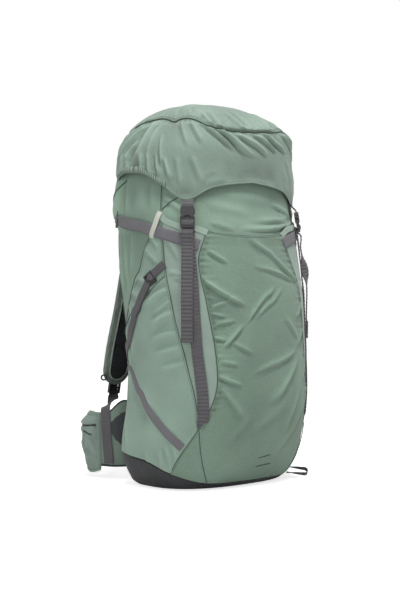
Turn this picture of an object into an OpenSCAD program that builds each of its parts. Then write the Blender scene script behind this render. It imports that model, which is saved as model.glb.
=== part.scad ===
// Hiking backpack: a sewn bag on a framed back, with a hinged lid, a front
// pocket, side pockets, compression straps, a padded harness and a hip belt.
// Z is up, the flat base stands on the XY plane at the origin, the front of
// the pack faces -Y and the wearer stands at +Y. Sizes are in millimetres.

/* [Bag] */
// Height of the sewn bag, from the floor to the top edge of its panels
bag_h = 580; // [550:5:610]
// Width of the bag at the chest
bag_w = 332; // [310:2:350]
// Depth from the middle line to the front cloth at the belly
belly_front = 170; // [156:2:180]
// Depth from the middle line to the front cloth at the top edge
top_front = 98; // [92:1:106]
// Depth from the middle line to the front cloth at the floor
base_front = 104; // [96:1:112]
// Depth from the middle line to the back cloth at the shoulder blades
shoulder_back = 111; // [106:1:116]
// Depth from the middle line to the back cloth at the waist
waist_back = 78; // [72:1:84]
// Thickness of a lined panel
fabric = 2.5; // [1.6:0.1:3.2]
// Thickness of a pocket's single cloth
pocket_cloth = 1.5; // [1:0.1:1.8]
// Gap left between layers that are sewn together
sew_gap = 0.3; // [0.2:0.05:0.4]
// Height of the base panel's edge at the front
base_front_h = 10; // [8:1:16]
// Height of the base panel's edge at the back
base_back_h = 60; // [50:1:70]

/* [Collar] */
// Height of the gathered collar above the bag's top edge
collar_rise = 24; // [16:1:28]
// How far the collar draws in at its hem
collar_gather = 46; // [30:1:55]

/* [Lid] */
// Height of the lid's seam above the bag's top edge
lid_seam_rise = 60; // [50:1:70]
// Height of the stuffed lid above its seam
lid_dome = 54; // [40:1:64]
// Thickness of the lid's padded cloth
lid_wall = 3; // [2:0.1:3.4]
// Gap between the lid's skirt and the bag
lid_ease = 4; // [3:0.5:6]
// How far the skirt hangs below the bag's top edge at a strap tab
lid_tab_drop = 72; // [66:1:78]
// How far the skirt hangs below the top edge at the middle of the front
lid_front_drop = 38; // [30:1:46]
// How far the skirt hangs below the top edge at the middle of a side
lid_side_drop = 20; // [14:1:26]

/* [Straps] */
// Width of the main webbing
web_w = 20; // [15:1:25]
// Thickness of the webbing
web_t = 1.5; // [1.2:0.1:2]
// Depth below the bag's top edge at which a front buckle closes
buckle_drop = 106; // [100:1:112]
// Thickness of a side-release buckle
buckle_t = 8; // [7:0.5:9]
// Height of the free end of a front strap
tail_end_z = 260; // [230:5:300]
// How far a front buckle's plug draws out of its socket
plug_travel = 45; // [30:1:50]

/* [Back and frame] */
// Thickness of the ridged back foam
back_foam = 14; // [10:1:16]
// Height of the back foam's top edge
back_foam_top = 452; // [430:2:460]
// Thickness of the frame sheet
frame_sheet_t = 2; // [1.5:0.1:3]
// Width of a frame stay
stay_w = 14; // [10:1:18]
// Thickness of a frame stay
stay_t = 3; // [2:0.5:4]
// Thickness of the lumbar cushion
lumbar_t = 18; // [12:1:20]

/* [Harness] */
// Thickness of a shoulder pad
pad_t = 13; // [10:1:15]
// Width of a shoulder pad
pad_w = 62; // [54:1:68]
// Height of a shoulder pad's lower end
pad_end_z = 176; // [166:2:190]
// Width of the load lifter and chest webbing
thin_web_w = 15; // [12:1:18]

/* [Hip belt] */
// Thickness of a belt wing
wing_t = 14; // [10:1:16]
// Height of a belt wing
wing_h = 110; // [96:2:116]
// Height of a wing's lower edge above the floor
wing_floor = 10; // [6:1:16]
// Thickness of a belt pocket's bulge
belt_pocket_t = 9; // [8:1:14]
// Width of the belt webbing
belt_web_w = 25; // [20:1:30]

/* [Hidden] */
$fn = 48;

cloth_green = "#8aa091";
light_green = "#93a698";
web_grey = "#6a696d";
trim_grey = "#7d7f80";
cream = "#c4c7ba";
dark_grey = "#33363a";
black = "#1c1c1e";
bare_metal = "#b8bcc0";

// Plan shape of the bag: rounded at the front, squarer at the back
front_round = 2.5;
back_round = 3.4;
half_w = bag_w / 2;
waist_z = 223;
width_at = [[0, half_w - 16], [50, half_w + 2], [150, half_w - 6], [230, half_w - 6],
    [340, half_w], [bag_h - 100, half_w], [bag_h, half_w - 16]];
front_at = [[0, base_front], [50, base_front + 30], [120, belly_front - 8], [190, belly_front],
    [330, belly_front - 15], [bag_h - 140, top_front + 29], [bag_h, top_front]];
back_at = [[0, waist_back - 2], [50, waist_back + 14], [waist_z, waist_back],
    [330, shoulder_back - 14], [bag_h - 140, shoulder_back], [bag_h, shoulder_back - 7]];

// Seams between the panels, as angles round the bag from +X through +Y
rear_seam = 146;
front_seam = 222;
// The back is laid out in even columns, which the frame and the foam follow
rear_columns = 12;
function rear_column(i) = mix(180 - rear_seam, rear_seam, i / rear_columns);

// Layers over the panels: pocket cloth, then webbing, then webbing that crosses it
over_panel = sew_gap + 0.6;
over_pocket = over_panel + pocket_cloth + 0.4;
over_web = over_pocket + web_t + 0.4;
buckle_back = over_web + web_t + 0.7;

function mix(a, b, t) = a + (b - a) * t;
function unit(v) = v / norm(v);
function total(list, i = 0) = i == len(list) - 1 ? list[i] : list[i] + total(list, i + 1);
function signed_pow(c, e) = sign(c) * pow(abs(c), e);

// Smooth curve through [place, value] stations
function station(x, keys) = max([0, for (i = [1 : len(keys) - 2]) if (x >= keys[i][0]) i]);
function slope(keys, i) = let (a = max(i - 1, 0), b = min(i + 1, len(keys) - 1))
    (keys[b][1] - keys[a][1]) / (keys[b][0] - keys[a][0]);
function along(x, keys) = let (
    q = min(max(x, keys[0][0]), keys[len(keys) - 1][0]),
    i = station(q, keys),
    h = keys[i + 1][0] - keys[i][0],
    t = (q - keys[i][0]) / h)
    keys[i][1] * (2 * t * t * t - 3 * t * t + 1) + slope(keys, i) * h * (t * t * t - 2 * t * t + t)
    + keys[i + 1][1] * (3 * t * t - 2 * t * t * t) + slope(keys, i + 1) * h * (t * t * t - t * t);

// Point of a rounded plan shape with half-width w, front depth f and back depth b
function plan_point(u, w, f, b) = let (
    e = 2 / (sin(u) < 0 ? front_round : back_round))
    [w * signed_pow(cos(u), e), (sin(u) < 0 ? f : b) * signed_pow(sin(u), e)];
// Point of the bag's cloth at angle u and height z, d outside the panels
function bag_point(u, z, d) = concat(
    plan_point(u, along(z, width_at) + d, along(z, front_at) + d, along(z, back_at) + d), z);
function bag_normal(u, z) = unit(cross(
    bag_point(u + 0.5, z, 0) - bag_point(u - 0.5, z, 0),
    bag_point(u, z + 3, 0) - bag_point(u, z - 3, 0)));

// Angle away from the middle of the front, 0 to 180
function from_front(u) = acos(min(1, max(-1, -sin(u))));
function base_top(u) = along(from_front(u), [[0, base_front_h], [30, base_front_h + 3],
    [66, base_front_h + 22], [90, base_back_h - 9], [120, base_back_h], [180, base_back_h]]);

// Closed solid between two layers of a surface shape(s, t, d): s runs to the right seen from
// outside, t runs up and d outwards. A ring closes on itself in s, and a crown closes it on top.
module sheet_solid(shape, ns, nt, low, high, ring = false, crown = false) {
    cols = ring ? ns : ns + 1;
    function at(i, j, k) = (k * (nt + 1) + j) * cols + i % cols;
    function quad(a, b, c, d) = [[a, b, c], [a, c, d]];
    grid = [for (d = [low, high], j = [0 : nt], i = [0 : cols - 1]) shape(i / ns, j / nt, d)];
    function middle(k) = total([for (i = [0 : cols - 1]) grid[at(i, nt, k)]]) / cols;
    points = crown ? concat(grid, [middle(0), middle(1)]) : grid;
    skins = [for (j = [0 : nt - 1], i = [0 : ns - 1]) each concat(
        quad(at(i, j, 1), at(i, j + 1, 1), at(i + 1, j + 1, 1), at(i + 1, j, 1)),
        quad(at(i, j, 0), at(i + 1, j, 0), at(i + 1, j + 1, 0), at(i, j + 1, 0)))];
    top = 2 * (nt + 1) * cols;
    rims = [for (i = [0 : ns - 1]) each concat(
        quad(at(i, 0, 0), at(i, 0, 1), at(i + 1, 0, 1), at(i + 1, 0, 0)),
        crown ? [[at(i, nt, 0), at(i + 1, nt, 0), top], [at(i, nt, 1), top + 1, at(i + 1, nt, 1)]]
        : quad(at(i, nt, 0), at(i + 1, nt, 0), at(i + 1, nt, 1), at(i, nt, 1)))];
    sides = ring ? [] : [for (j = [0 : nt - 1]) each concat(
        quad(at(0, j, 0), at(0, j + 1, 0), at(0, j + 1, 1), at(0, j, 1)),
        quad(at(ns, j, 0), at(ns, j, 1), at(ns, j + 1, 1), at(ns, j + 1, 0)))];
    polyhedron(points, concat(skins, rims, sides));
}

// Flat webbing whose inner face follows a path of points, facing the directions in out
module strap(path, out, width, thick = web_t) {
    last = len(path) - 1;
    sides = [for (i = [0 : last])
        unit(cross(unit(path[min(i + 1, last)] - path[max(i - 1, 0)]), out[i]))];
    sheet_solid(function(s, t, d) let (i = round(t * last))
        path[i] + sides[i] * (s - 0.5) * width + out[i] * d, 1, last, 0, thick);
}
// Directions square to a path that lies in a plane, on the side that the plane's axis gives
function facing(path, axis) = [for (i = [0 : len(path) - 1])
    unit(cross(axis, path[min(i + 1, len(path) - 1)] - path[max(i - 1, 0)]))];

// Webbing laid on the bag through [angle, height] stations, lift(t) outside the panels
module bag_strap(stations, lift, width, thick = web_t, steps = 14) {
    lasts = len(stations) - 1;
    us = [for (i = [0 : lasts]) [i / lasts, stations[i][0]]];
    zs = [for (i = [0 : lasts]) [i / lasts, stations[i][1]]];
    run = [for (i = [0 : steps]) [along(i / steps, us), along(i / steps, zs), lift(i / steps)]];
    strap([for (p = run) bag_point(p[0], p[1], 0) + bag_normal(p[0], p[1]) * p[2]],
        [for (p = run) bag_normal(p[0], p[1])], width, thick);
}
module both_sides() {
    children();
    mirror([1, 0, 0]) children();
}

// The bag's sewn panels
module base_panel() {
    color(dark_grey) union() {
        linear_extrude(fabric)
            polygon([for (u = [0 : 6 : 354]) plan_point(u, width_at[0][1] - 0.6,
                front_at[0][1] - 0.6, back_at[0][1] - 0.6)]);
        sheet_solid(function(s, t, d) bag_point(360 * s, mix(0.5, base_top(360 * s), t), d),
            48, 3, -fabric, 0, true);
    }
}
module panel(u0, u1, columns, rows) {
    sheet_solid(function(s, t, d) let (u = mix(u0, u1, s))
        bag_point(u, mix(base_top(u) + over_panel, bag_h, t), d), columns, rows, -fabric, 0);
}
module front_panel() {
    color(cloth_green) panel(front_seam, 540 - front_seam, 16, 15);
}
module rear_panel() {
    color(dark_grey) panel(180 - rear_seam, rear_seam, rear_columns, 15);
}
module side_panel() {
    color(cloth_green) panel(rear_seam, front_seam, 10, 15);
}
module side_panel_left() {
    side_panel();
}
module side_panel_right() {
    mirror([1, 0, 0]) side_panel();
}

// The gathered collar stands inside the panels and draws in to its rolled hem
collar_seat = 14;
module collar() {
    seat_d = -fabric - sew_gap;
    function draw_in(t) = let (q = max(0, t - 0.35) / 0.65) seat_d - collar_gather * q * q;
    color(cloth_green)
        sheet_solid(function(s, t, d) concat(
            plan_point(360 * s, along(bag_h, width_at) + draw_in(t) + d,
                along(bag_h, front_at) + draw_in(t) + d, along(bag_h, back_at) + draw_in(t) + d),
            mix(bag_h - collar_seat, bag_h + collar_rise, t)),
            36, 4, -pocket_cloth, 0, true);
}

// The frame: a plastic sheet against the back panel, with two flat stays on it
sheet_in = fabric + over_panel;
frame_low = base_back_h + 8;
frame_high = bag_h - 60;
module frame_sheet() {
    color(black)
        sheet_solid(function(s, t, d) bag_point(mix(rear_column(3), rear_column(9), s),
            mix(frame_low, frame_high, t), d), 6, 14, -sheet_in - frame_sheet_t, -sheet_in);
}
stay_u = 70;
stay_in = sheet_in + frame_sheet_t + sew_gap;
module stay() {
    half_turn = stay_w / 2 / along(waist_z, width_at) * 57.3 / 1.5;
    sheet_solid(function(s, t, d)
        bag_point(mix(stay_u - half_turn, stay_u + half_turn, s), mix(frame_low, frame_high, t), d),
        1, 14, -stay_in - stay_t, -stay_in);
}
module frame_stays() {
    color(bare_metal) both_sides() stay();
}

// Back foam with level ridges, thin at its edges
pad_low = wing_floor + wing_h + 14;
back_ridges = 7;
function crown(s, sharp) = 1 - pow(abs(2 * s - 1), sharp);
module back_pad() {
    function swell(s, t) = back_foam * (0.3 + 0.7 * crown(s, 4) * crown(t, 6)
        * (1 - 0.35 * pow(abs(cos(180 * back_ridges * t)), 6)));
    color(black)
        sheet_solid(function(s, t, d) bag_point(mix(rear_column(2), rear_column(10), s),
            mix(pad_low, back_foam_top, t), over_panel + d * swell(s, t)), 8, 28, 0, 1);
}

// The belt's yoke crosses the small of the back and carries the wings at both ends
yoke_t = 7;
yoke_y = waist_back + 14 + sew_gap + 1 + yoke_t / 2;
hinge_x = half_w - 20;
hinge_y = yoke_y + 41;
hinge_gap = 0.8;
yoke_x_at = [[0, -hinge_x], [0.16, -hinge_x + 12], [0.3, -hinge_x + 46], [0.5, 0],
    [0.7, hinge_x - 46], [0.84, hinge_x - 12], [1, hinge_x]];
yoke_y_at = [[0, hinge_y - hinge_gap], [0.16, yoke_y + 14], [0.3, yoke_y], [0.5, yoke_y],
    [0.7, yoke_y], [0.84, yoke_y + 14], [1, hinge_y - hinge_gap]];
wing_top = wing_floor + wing_h;
yoke_rise = 24;
yoke_top_at = [[0, wing_top + 2], [0.1, wing_top + 3], [0.24, wing_top + yoke_rise],
    [0.34, wing_top + 4], [0.5, wing_top], [0.66, wing_top + 4], [0.76, wing_top + yoke_rise],
    [0.9, wing_top + 3], [1, wing_top + 2]];
// The cloth is thin where a wing folds on it
yoke_thin_at = [[0, 0.3], [0.1, 1], [0.9, 1], [1, 0.3]];
function yoke_mid(q) = [along(q, yoke_x_at), along(q, yoke_y_at), 0];
function yoke_out(q) = unit(cross([0, 0, 1],
    yoke_mid(min(q + 0.01, 1)) - yoke_mid(max(q - 0.01, 0))));
module belt_yoke() {
    color(cloth_green)
        sheet_solid(function(s, t, d) let (q = 1 - s)
            yoke_mid(q) + yoke_out(q) * d * along(q, yoke_thin_at)
            + [0, 0, mix(wing_floor + 14, along(q, yoke_top_at), t)],
            28, 2, -yoke_t / 2, yoke_t / 2);
}

// Lumbar cushion on the yoke, crowned to the wearer
lumbar_w = 166;
lumbar_low = wing_floor + 22;
module lumbar_pad() {
    back_y = yoke_y + yoke_t / 2 + over_panel;
    function swell(s, t) = lumbar_t * (0.3 + 0.7 * crown(s, 4) * crown(t, 4));
    function inset(t) = 9 * pow(abs(2 * t - 1), 3);
    color(black)
        sheet_solid(function(s, t, d) [mix(lumbar_w / 2 - inset(t), inset(t) - lumbar_w / 2, s),
            back_y + d * swell(s, t), mix(lumbar_low, wing_top - 6, t)], 14, 8, 0, 1);
}

// Haul loop: webbing arched out of the back panel, above the shoulder pads
haul_z = bag_h - 50;
haul_half = 40;
haul_out = 24;
module haul_loop() {
    seat_y = along(haul_z, back_at) + sew_gap;
    path = [for (i = [0 : 12]) let (a = i * 15) [haul_half * cos(a),
        seat_y + haul_out * signed_pow(sin(a), 0.6), haul_z]];
    color(black) strap(path, facing(path, [0, 0, -1]), web_w);
}

// Pockets: a woven front pocket, a light gusset each side of it and a pocket on each side
front_edge_at = [[base_front_h, 204], [60, 213], [110, 222.5], [180, 232], [250, 232],
    [322, 229.5], [400, 228], [450, 237]];
side_edge_at = [[base_front_h, 238], [100, 224], [266, 208], [378, 202], [480, 201.5]];
function front_edge(z) = along(z, front_edge_at);
function side_edge(z) = along(z, side_edge_at);
front_pocket_sides = bag_h - 110;
front_pocket_middle = bag_h - 136;
module front_pocket() {
    function top(s) = mix(front_pocket_middle, front_pocket_sides, pow(abs(2 * s - 1), 2));
    color(cloth_green)
        sheet_solid(function(s, t, d) let (
            z = mix(base_front_h + 26, top(s), t),
            u = mix(front_edge(z), 540 - front_edge(z), s))
            bag_point(u, max(z, base_top(u) + over_panel), d),
            16, 16, over_panel, over_panel + pocket_cloth);
}
module gusset() {
    low = 130;
    sheet_solid(function(s, t, d) let (z = mix(low, mix(bag_h - 106, bag_h - 128, s), t))
        bag_point(mix(side_edge(z) + 0.3, front_edge(z) - 0.9, s), z, d),
        4, 14, over_panel, over_panel + pocket_cloth);
}
module pocket_gussets() {
    color(light_green) both_sides() gusset();
}
pocket_rear_u = 152;
pocket_top_at = [[152, 268], [172, 300], [190, 352], [204, 380]];
module side_pocket() {
    sheet_solid(function(s, t, d) let (
        u_top = mix(pocket_rear_u, 202, s),
        z_top = along(u_top, pocket_top_at),
        u_low = mix(pocket_rear_u, 205, s),
        z = mix(base_top(u_low) + over_panel, z_top, t),
        u = mix(pocket_rear_u, min(side_edge(z), front_edge(z)) - 0.3, s))
        bag_point(u, max(z, base_top(u) + over_panel), d),
        8, 13, over_panel, over_panel + pocket_cloth);
}
module side_pockets() {
    color(light_green) both_sides() side_pocket();
}

// Front straps: the fixed strand lies on the gusset from the foot of the pocket to the buckle
buckle_z = bag_h - buckle_drop;
strap_u = 223.5;
strand_stop = buckle_z - 8;
module front_strand() {
    bag_strap([[225, 116], [220.5, 213], [219.5, 259], [220.5, 330], [strap_u, strand_stop]],
        function(t) over_web, web_w);
}
module front_straps() {
    color(web_grey) both_sides() front_strand();
}

// Upper side straps, with a ladder buckle at the back edge and a loop that keeps each one down
side_strap_at = [[160, bag_h - 105], [175, bag_h - 113], [190, bag_h - 124], [212, bag_h - 139],
    [230, bag_h - 153]];
module side_straps() {
    color(trim_grey) both_sides() bag_strap(side_strap_at, function(t) over_pocket, web_w);
}
module ladder_lock(width, height, thick) {
    bar = 3;
    slot = (height - 3 * bar) / 2;
    rotate([90, 0, 0]) linear_extrude(thick) difference() {
        square([width + 2 * bar, height], center = true);
        for (side = [-1, 1]) translate([0, side * (slot + bar) / 2])
            square([width + 0.8, slot], center = true);
    }
}
// Places a piece on the bag with its back d outside the panels, and turns it by roll
module on_bag(u, z, d, roll = 0) {
    n = bag_normal(u, z);
    p = bag_point(u, z, 0) + n * d;
    translate(p) rotate([0, 0, atan2(n[1], n[0]) + 90]) rotate([-asin(n[2]), 0, 0])
        rotate([0, roll, 0]) children();
}
side_buckle_u = 150.5;
module side_buckles() {
    color(black) both_sides() on_bag(side_buckle_u, bag_h - 102, over_panel, 78)
        ladder_lock(web_w, 24, 5);
}
module keeper_loops() {
    color(cream) both_sides()
        bag_strap([[200.5, bag_h - 90], [197.5, bag_h - 110], [194, bag_h - 128], [191, bag_h - 144]],
            function(t) along(t, [[0, over_panel], [0.3, over_web], [0.8, over_web],
                [1, over_panel]]), 10, 1.2);
}

// Lower side straps run from a tab on the pocket seam through a ladder buckle to the back seam
module pocket_straps() {
    color(trim_grey) both_sides() {
        bag_strap([[185.6, 357.6], [182.5, 339], [179.5, 311], [176, 283], [169, 257], [157, 238]],
            function(t) over_pocket + 0.3, 15, web_t, 20);
        bag_strap([[201, 394], [193.4, 382.2]], function(t) over_pocket, 15, web_t, 4);
    }
}
module pocket_adjusters() {
    color(black) both_sides() on_bag(189, 369.5, sew_gap + 0.2, -34) ladder_lock(15, 22, 5);
}
module pocket_trims() {
    color(trim_grey) both_sides()
        bag_strap([[166, 216], [175, 178], [186, 140], [200, 104], [213, 80]],
            function(t) over_pocket, 12, 1);
}

// Tool loop of doubled webbing, sewn to the base's wall at the front right and drooping a little.
// Each leg takes its foot from the wall at its own height
tool_loop_u = 318;
tool_loop_z = 13;
tool_loop_len = 40;
tool_loop_gap = 12;
tool_loop_droop = 6;
module tool_loop() {
    r = tool_loop_gap / 2;
    n = [cos(tool_loop_u), sin(tool_loop_u), -tan(tool_loop_droop)];
    level = [n[0], n[1], 0];
    foot = [for (side = [-1, 1]) bag_point(tool_loop_u, tool_loop_z + side * r, 0) + level * 4 * sew_gap];
    seat = bag_point(tool_loop_u, tool_loop_z, 0);
    bend = [for (a = [-90 : 22.5 : 90]) seat + n * (tool_loop_len - r + r * cos(a)) + [0, 0, r * sin(a)]];
    half = [for (side = [-1, 1]) seat + n * tool_loop_len / 2 + [0, 0, side * r]];
    path = concat([foot[0], half[0]], bend, [half[1], foot[1]]);
    color(web_grey) strap(path, facing(path, cross(level, [0, 0, 1])), 14);
}

// The lid: a stuffed top panel and a skirt that hangs lower at the strap tabs
lid_width_at = [[-80, half_w + lid_ease + 1], [-20, half_w + lid_ease + 1],
    [20, half_w - 2], [lid_seam_rise, half_w - 24]];
lid_front_at = [[-80, top_front + lid_ease + 20], [-20, top_front + lid_ease + 16],
    [20, top_front + 17], [lid_seam_rise, top_front + 6]];
lid_back_at = [[-80, shoulder_back + 3], [-28, shoulder_back + 3], [20, shoulder_back + 2],
    [lid_seam_rise, shoulder_back - 12]];
lid_rear_drop = 28;
lid_corner_drop = 38;
dome_shift = 22;
function lid_edge(u) = bag_h - along(from_front(u), [[0, lid_front_drop], [26, lid_front_drop + 12],
    [48, lid_tab_drop], [68, lid_tab_drop - 26], [95, lid_side_drop], [130, lid_corner_drop],
    [160, lid_rear_drop + 1], [180, lid_rear_drop]]);
function lid_point(u, rise, d) = concat(plan_point(u, along(rise, lid_width_at) + d,
    along(rise, lid_front_at) + d, along(rise, lid_back_at) + d), bag_h + rise);
// Skirt for t up to 0.55, then the top panel shrinking to its crown
skirt_part = 0.55;
function lid_surface(s, t, d) = let (u = 360 * s)
    t <= skirt_part
    ? lid_point(u, mix(lid_edge(u) - bag_h, lid_seam_rise, t / skirt_part), d)
    : let (k = 1 - 0.93 * (t - skirt_part) / (1 - skirt_part), p = lid_point(u, lid_seam_rise, d))
        [p[0] * k, p[1] * k + dome_shift * (1 - k),
            p[2] + (lid_dome + d) * (1 - pow(k, 2.2))];
module lid_shell() {
    color(light_green)
        sheet_solid(function(s, t, d) lid_surface(s, t, d), 48, 11, -lid_wall, 0, true, true);
}
lid_floor_rise = collar_rise + 6;
module lid_floor() {
    color(dark_grey) translate([0, 0, bag_h + lid_floor_rise]) linear_extrude(pocket_cloth)
        polygon([for (u = [0 : 6 : 354]) let (p = lid_point(u, lid_floor_rise, -lid_wall - 1.5))
            [p[0], p[1]]]);
}

// Webbing tabs on the back panel that the lid hangs on; the lid turns at their upper ends
hinge_tab_x = 72;
lid_axis = [0, shoulder_back + 3, bag_h - lid_rear_drop];
module lid_hinge_tabs() {
    u = acos(signed_pow(hinge_tab_x / (half_w + lid_ease + 1), back_round / 2));
    top = lid_edge(u) - over_panel;
    lean = lid_point(u, top - bag_h, -lid_wall / 2)[1] - web_t / 2;
    path = [for (i = [0 : 6]) let (z = mix(bag_h - 86, top, i / 6))
        [hinge_tab_x, mix(bag_point(u, z, 0)[1] + sew_gap, lean, pow(i / 6, 2)), z]];
    color(web_grey) both_sides() strap(path, facing(path, [-1, 0, 0]), web_w);
}

// Side-release buckle in its own frame: the socket's mouth is at the origin and opens down,
// the outer face looks to -Y, and w is the webbing's width
arm_t = buckle_t - 4;
wall_y = 1.6;
module outline(points, from_y, thick) {
    translate([0, from_y, 0]) rotate([90, 0, 0]) linear_extrude(thick) polygon(points);
}
function both_edges(points) = concat(points,
    [for (i = [len(points) - 1 : -1 : 0]) [-points[i][0], points[i][1]]]);
socket_len = 19;
plug_len = 18;
module socket(w) {
    h = w / 2 + 2.6;
    mid = -buckle_t / 2;
    color(black) difference() {
        outline(both_edges([[h - 0.4, 0], [h - 2.4, 5], [h - 0.2, 10], [h, 14], [h - 1.8, socket_len]]),
            0, buckle_t);
        translate([-h - 1, mid - (arm_t + 0.8) / 2, -1]) cube([2 * h + 2, arm_t + 0.8, 14.5]);
        translate([-w / 2 - 0.4, mid - web_t / 2 - 0.35, 15])
            cube([w + 0.8, web_t + 0.7, socket_len]);
        outline([[-w * 0.26, -1], [w * 0.26, -1], [w * 0.16, 3.5], [-w * 0.16, 3.5]],
            mid, buckle_t);
    }
}
module plug(w) {
    h = w / 2 + 2.6;
    mid = -buckle_t / 2;
    base_t = arm_t + 1;
    color(black) union() {
        difference() {
            translate([-h, mid - base_t / 2, -plug_len]) cube([2 * h, base_t, plug_len - 0.5]);
            for (low = [-plug_len + 3.5, -plug_len + 10.5])
                translate([-w / 2 - 0.4, mid - base_t, low]) cube([w + 0.8, 2 * base_t, 3.2]);
        }
        outline([[-2.6, -1], [2.6, -1], [1.8, 12], [-1.8, 12]], mid + arm_t / 2, arm_t);
        for (side = [-1, 1]) outline([for (p = [[h - 4.4, -1], [h - 0.4, -1], [h - 2, 4], [h + 0.2, 9],
            [h - 1.4, 12.5], [h - 4, 12.5], [h - 4.6, 5]]) [side * p[0], p[1]]], mid + arm_t / 2, arm_t);
    }
}

// A front buckle leans with the bag's corner, which it faces squarely
strap_yaw = 45;
strap_dir = [-sin(strap_yaw), -cos(strap_yaw), 0];
strap_side = [cos(strap_yaw), -sin(strap_yaw), 0];
strap_foot = bag_point(strap_u, buckle_z, 0);
// Distance from the buckle's line to the bag's cloth along strap_dir, at height z
function beyond(p, z) = pow(abs(p[0]) / along(z, width_at), front_round)
    + pow(abs(p[1]) / along(z, front_at), front_round) - 1;
function reach(z, low = -60, high = 80, rounds = 22) = rounds == 0 ? (low + high) / 2
    : let (m = (low + high) / 2)
        beyond(strap_foot + strap_dir * m, z) > 0 ? reach(z, low, m, rounds - 1)
        : reach(z, m, high, rounds - 1);
strap_lean = atan((reach(buckle_z - plug_travel - plug_len) - reach(buckle_z)) / (plug_travel + plug_len)) + 0.6;
plug_axis = strap_dir * sin(strap_lean) - [0, 0, cos(strap_lean)];
module at_front_buckle() {
    translate(strap_foot) rotate([0, 0, -strap_yaw]) rotate([-strap_lean, 0, 0])
        translate([0, -buckle_back, 0]) children();
}
// A point y outside the buckle's back plane and z along the strap, in the part's frame
function at_buckle(y, z) = strap_foot + strap_dir * ((y + buckle_back) * cos(strap_lean)
    - z * sin(strap_lean)) + [0, 0, (y + buckle_back) * sin(strap_lean) + z * cos(strap_lean)];
module buckle_socket_left() {
    at_front_buckle() socket(web_w);
}
module buckle_socket_right() {
    mirror([1, 0, 0]) buckle_socket_left();
}
module buckle_plug_left() {
    at_front_buckle() plug(web_w);
}
module buckle_plug_right() {
    mirror([1, 0, 0]) buckle_plug_left();
}
// Webbing tab from the lid's skirt down into the socket
module lid_tab() {
    stop = (lid_edge(strap_u) - sew_gap - strap_foot[2]) / cos(strap_lean) - 1;
    hem = lid_point(strap_u, lid_edge(strap_u) - bag_h, -lid_wall / 2) - strap_foot;
    // Its upper end lies under the middle of the skirt's edge
    lift = (hem * strap_dir + stop * sin(strap_lean)) / cos(strap_lean) - buckle_back - web_t / 2;
    path = [for (i = [0 : 4]) at_buckle(mix(buckle_t / 2 - web_t / 2, lift, max(0, i - 1) / 3),
        mix(15.4, stop, i / 4))];
    color(web_grey) strap(path, facing(path, strap_side), web_w);
}
module lid_tab_left() {
    lid_tab();
}
module lid_tab_right() {
    mirror([1, 0, 0]) lid_tab();
}
// The free end leaves the plug's upper slot, crosses its bars and hangs on the bag
tail_front = buckle_t + 0.6;
slot_z = -plug_len + 12.1;
module strap_tail() {
    hang_z = buckle_z - plug_len - 26;
    head = [at_buckle(1.8, slot_z), at_buckle(buckle_t * 0.82, slot_z),
        at_buckle(tail_front, slot_z - 2.4), at_buckle(tail_front, -plug_len - 2)];
    hang = [for (i = [0 : 12]) let (
        z = mix(hang_z, tail_end_z, i / 12),
        p = strap_foot + strap_dir * (reach(z) + over_web + web_t + 3))
        [p[0], p[1], z]];
    path = concat(head, hang);
    color(web_grey) strap(path, facing(path, -strap_side), web_w);
}
module strap_tail_left() {
    strap_tail();
}
module strap_tail_right() {
    mirror([1, 0, 0]) strap_tail();
}

// Shoulder pads hang from the back panel's top, away from the back, to their lower ends
pad_top_z = bag_h - 68;
pad_x_at = [[0, -50], [0.12, -56], [0.33, -66], [0.6, -76], [0.8, -86], [1, -92]];
pad_y_at = [[0, along(pad_top_z, back_at) + pad_t / 2 + sew_gap], [0.12, shoulder_back + 15],
    [0.33, shoulder_back + 26], [0.6, shoulder_back + 37], [0.8, shoulder_back + 46],
    [1, shoulder_back + 54]];
pad_half_at = [[0, pad_w / 2 - 7], [0.1, pad_w / 2 - 3], [0.55, pad_w / 2], [0.86, pad_w / 2 - 2],
    [0.95, pad_w / 2 - 8], [1, pad_w / 2 - 19]];
function pad_mid(t) = [along(t, pad_x_at), along(t, pad_y_at), mix(pad_top_z, pad_end_z, t)];
function pad_run(t) = unit(pad_mid(min(t + 0.02, 1)) - pad_mid(max(t - 0.02, 0)));
function pad_out(t) = unit(cross([1, 0, 0], pad_run(t)));
function pad_thick(s, t) = pad_t * (0.4 + 0.6 * crown(s, 3)) * along(t, [[0, 1], [0.88, 1], [1, 0.6]]);
module shoulder_pad() {
    color(dark_grey)
        sheet_solid(function(s, t, d) pad_mid(t) + [(2 * s - 1) * along(t, pad_half_at), 0, 0]
            + pad_out(t) * d * pad_thick(s, t), 8, 20, -0.5, 0.5);
}
module shoulder_pad_left() {
    shoulder_pad();
}
module shoulder_pad_right() {
    mirror([1, 0, 0]) shoulder_pad();
}
// Stands a piece at p with its own Z along v
module stand(p, v) {
    translate(p) rotate([asin(-v[1]), atan2(v[0], v[2]), 0]) children();
}
// Ladder buckle at the lower end of the pad
adjuster_h = 22;
adjuster_t = 5;
adjuster_mid = pad_mid(1) + pad_run(1) * (adjuster_h / 2 + over_panel + 0.6);
module shoulder_adjuster() {
    color(black) stand(adjuster_mid, -pad_run(1)) translate([0, adjuster_t / 2, 0])
        ladder_lock(web_w, adjuster_h, adjuster_t);
}
module shoulder_adjuster_left() {
    shoulder_adjuster();
}
module shoulder_adjuster_right() {
    mirror([1, 0, 0]) shoulder_adjuster();
}
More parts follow.
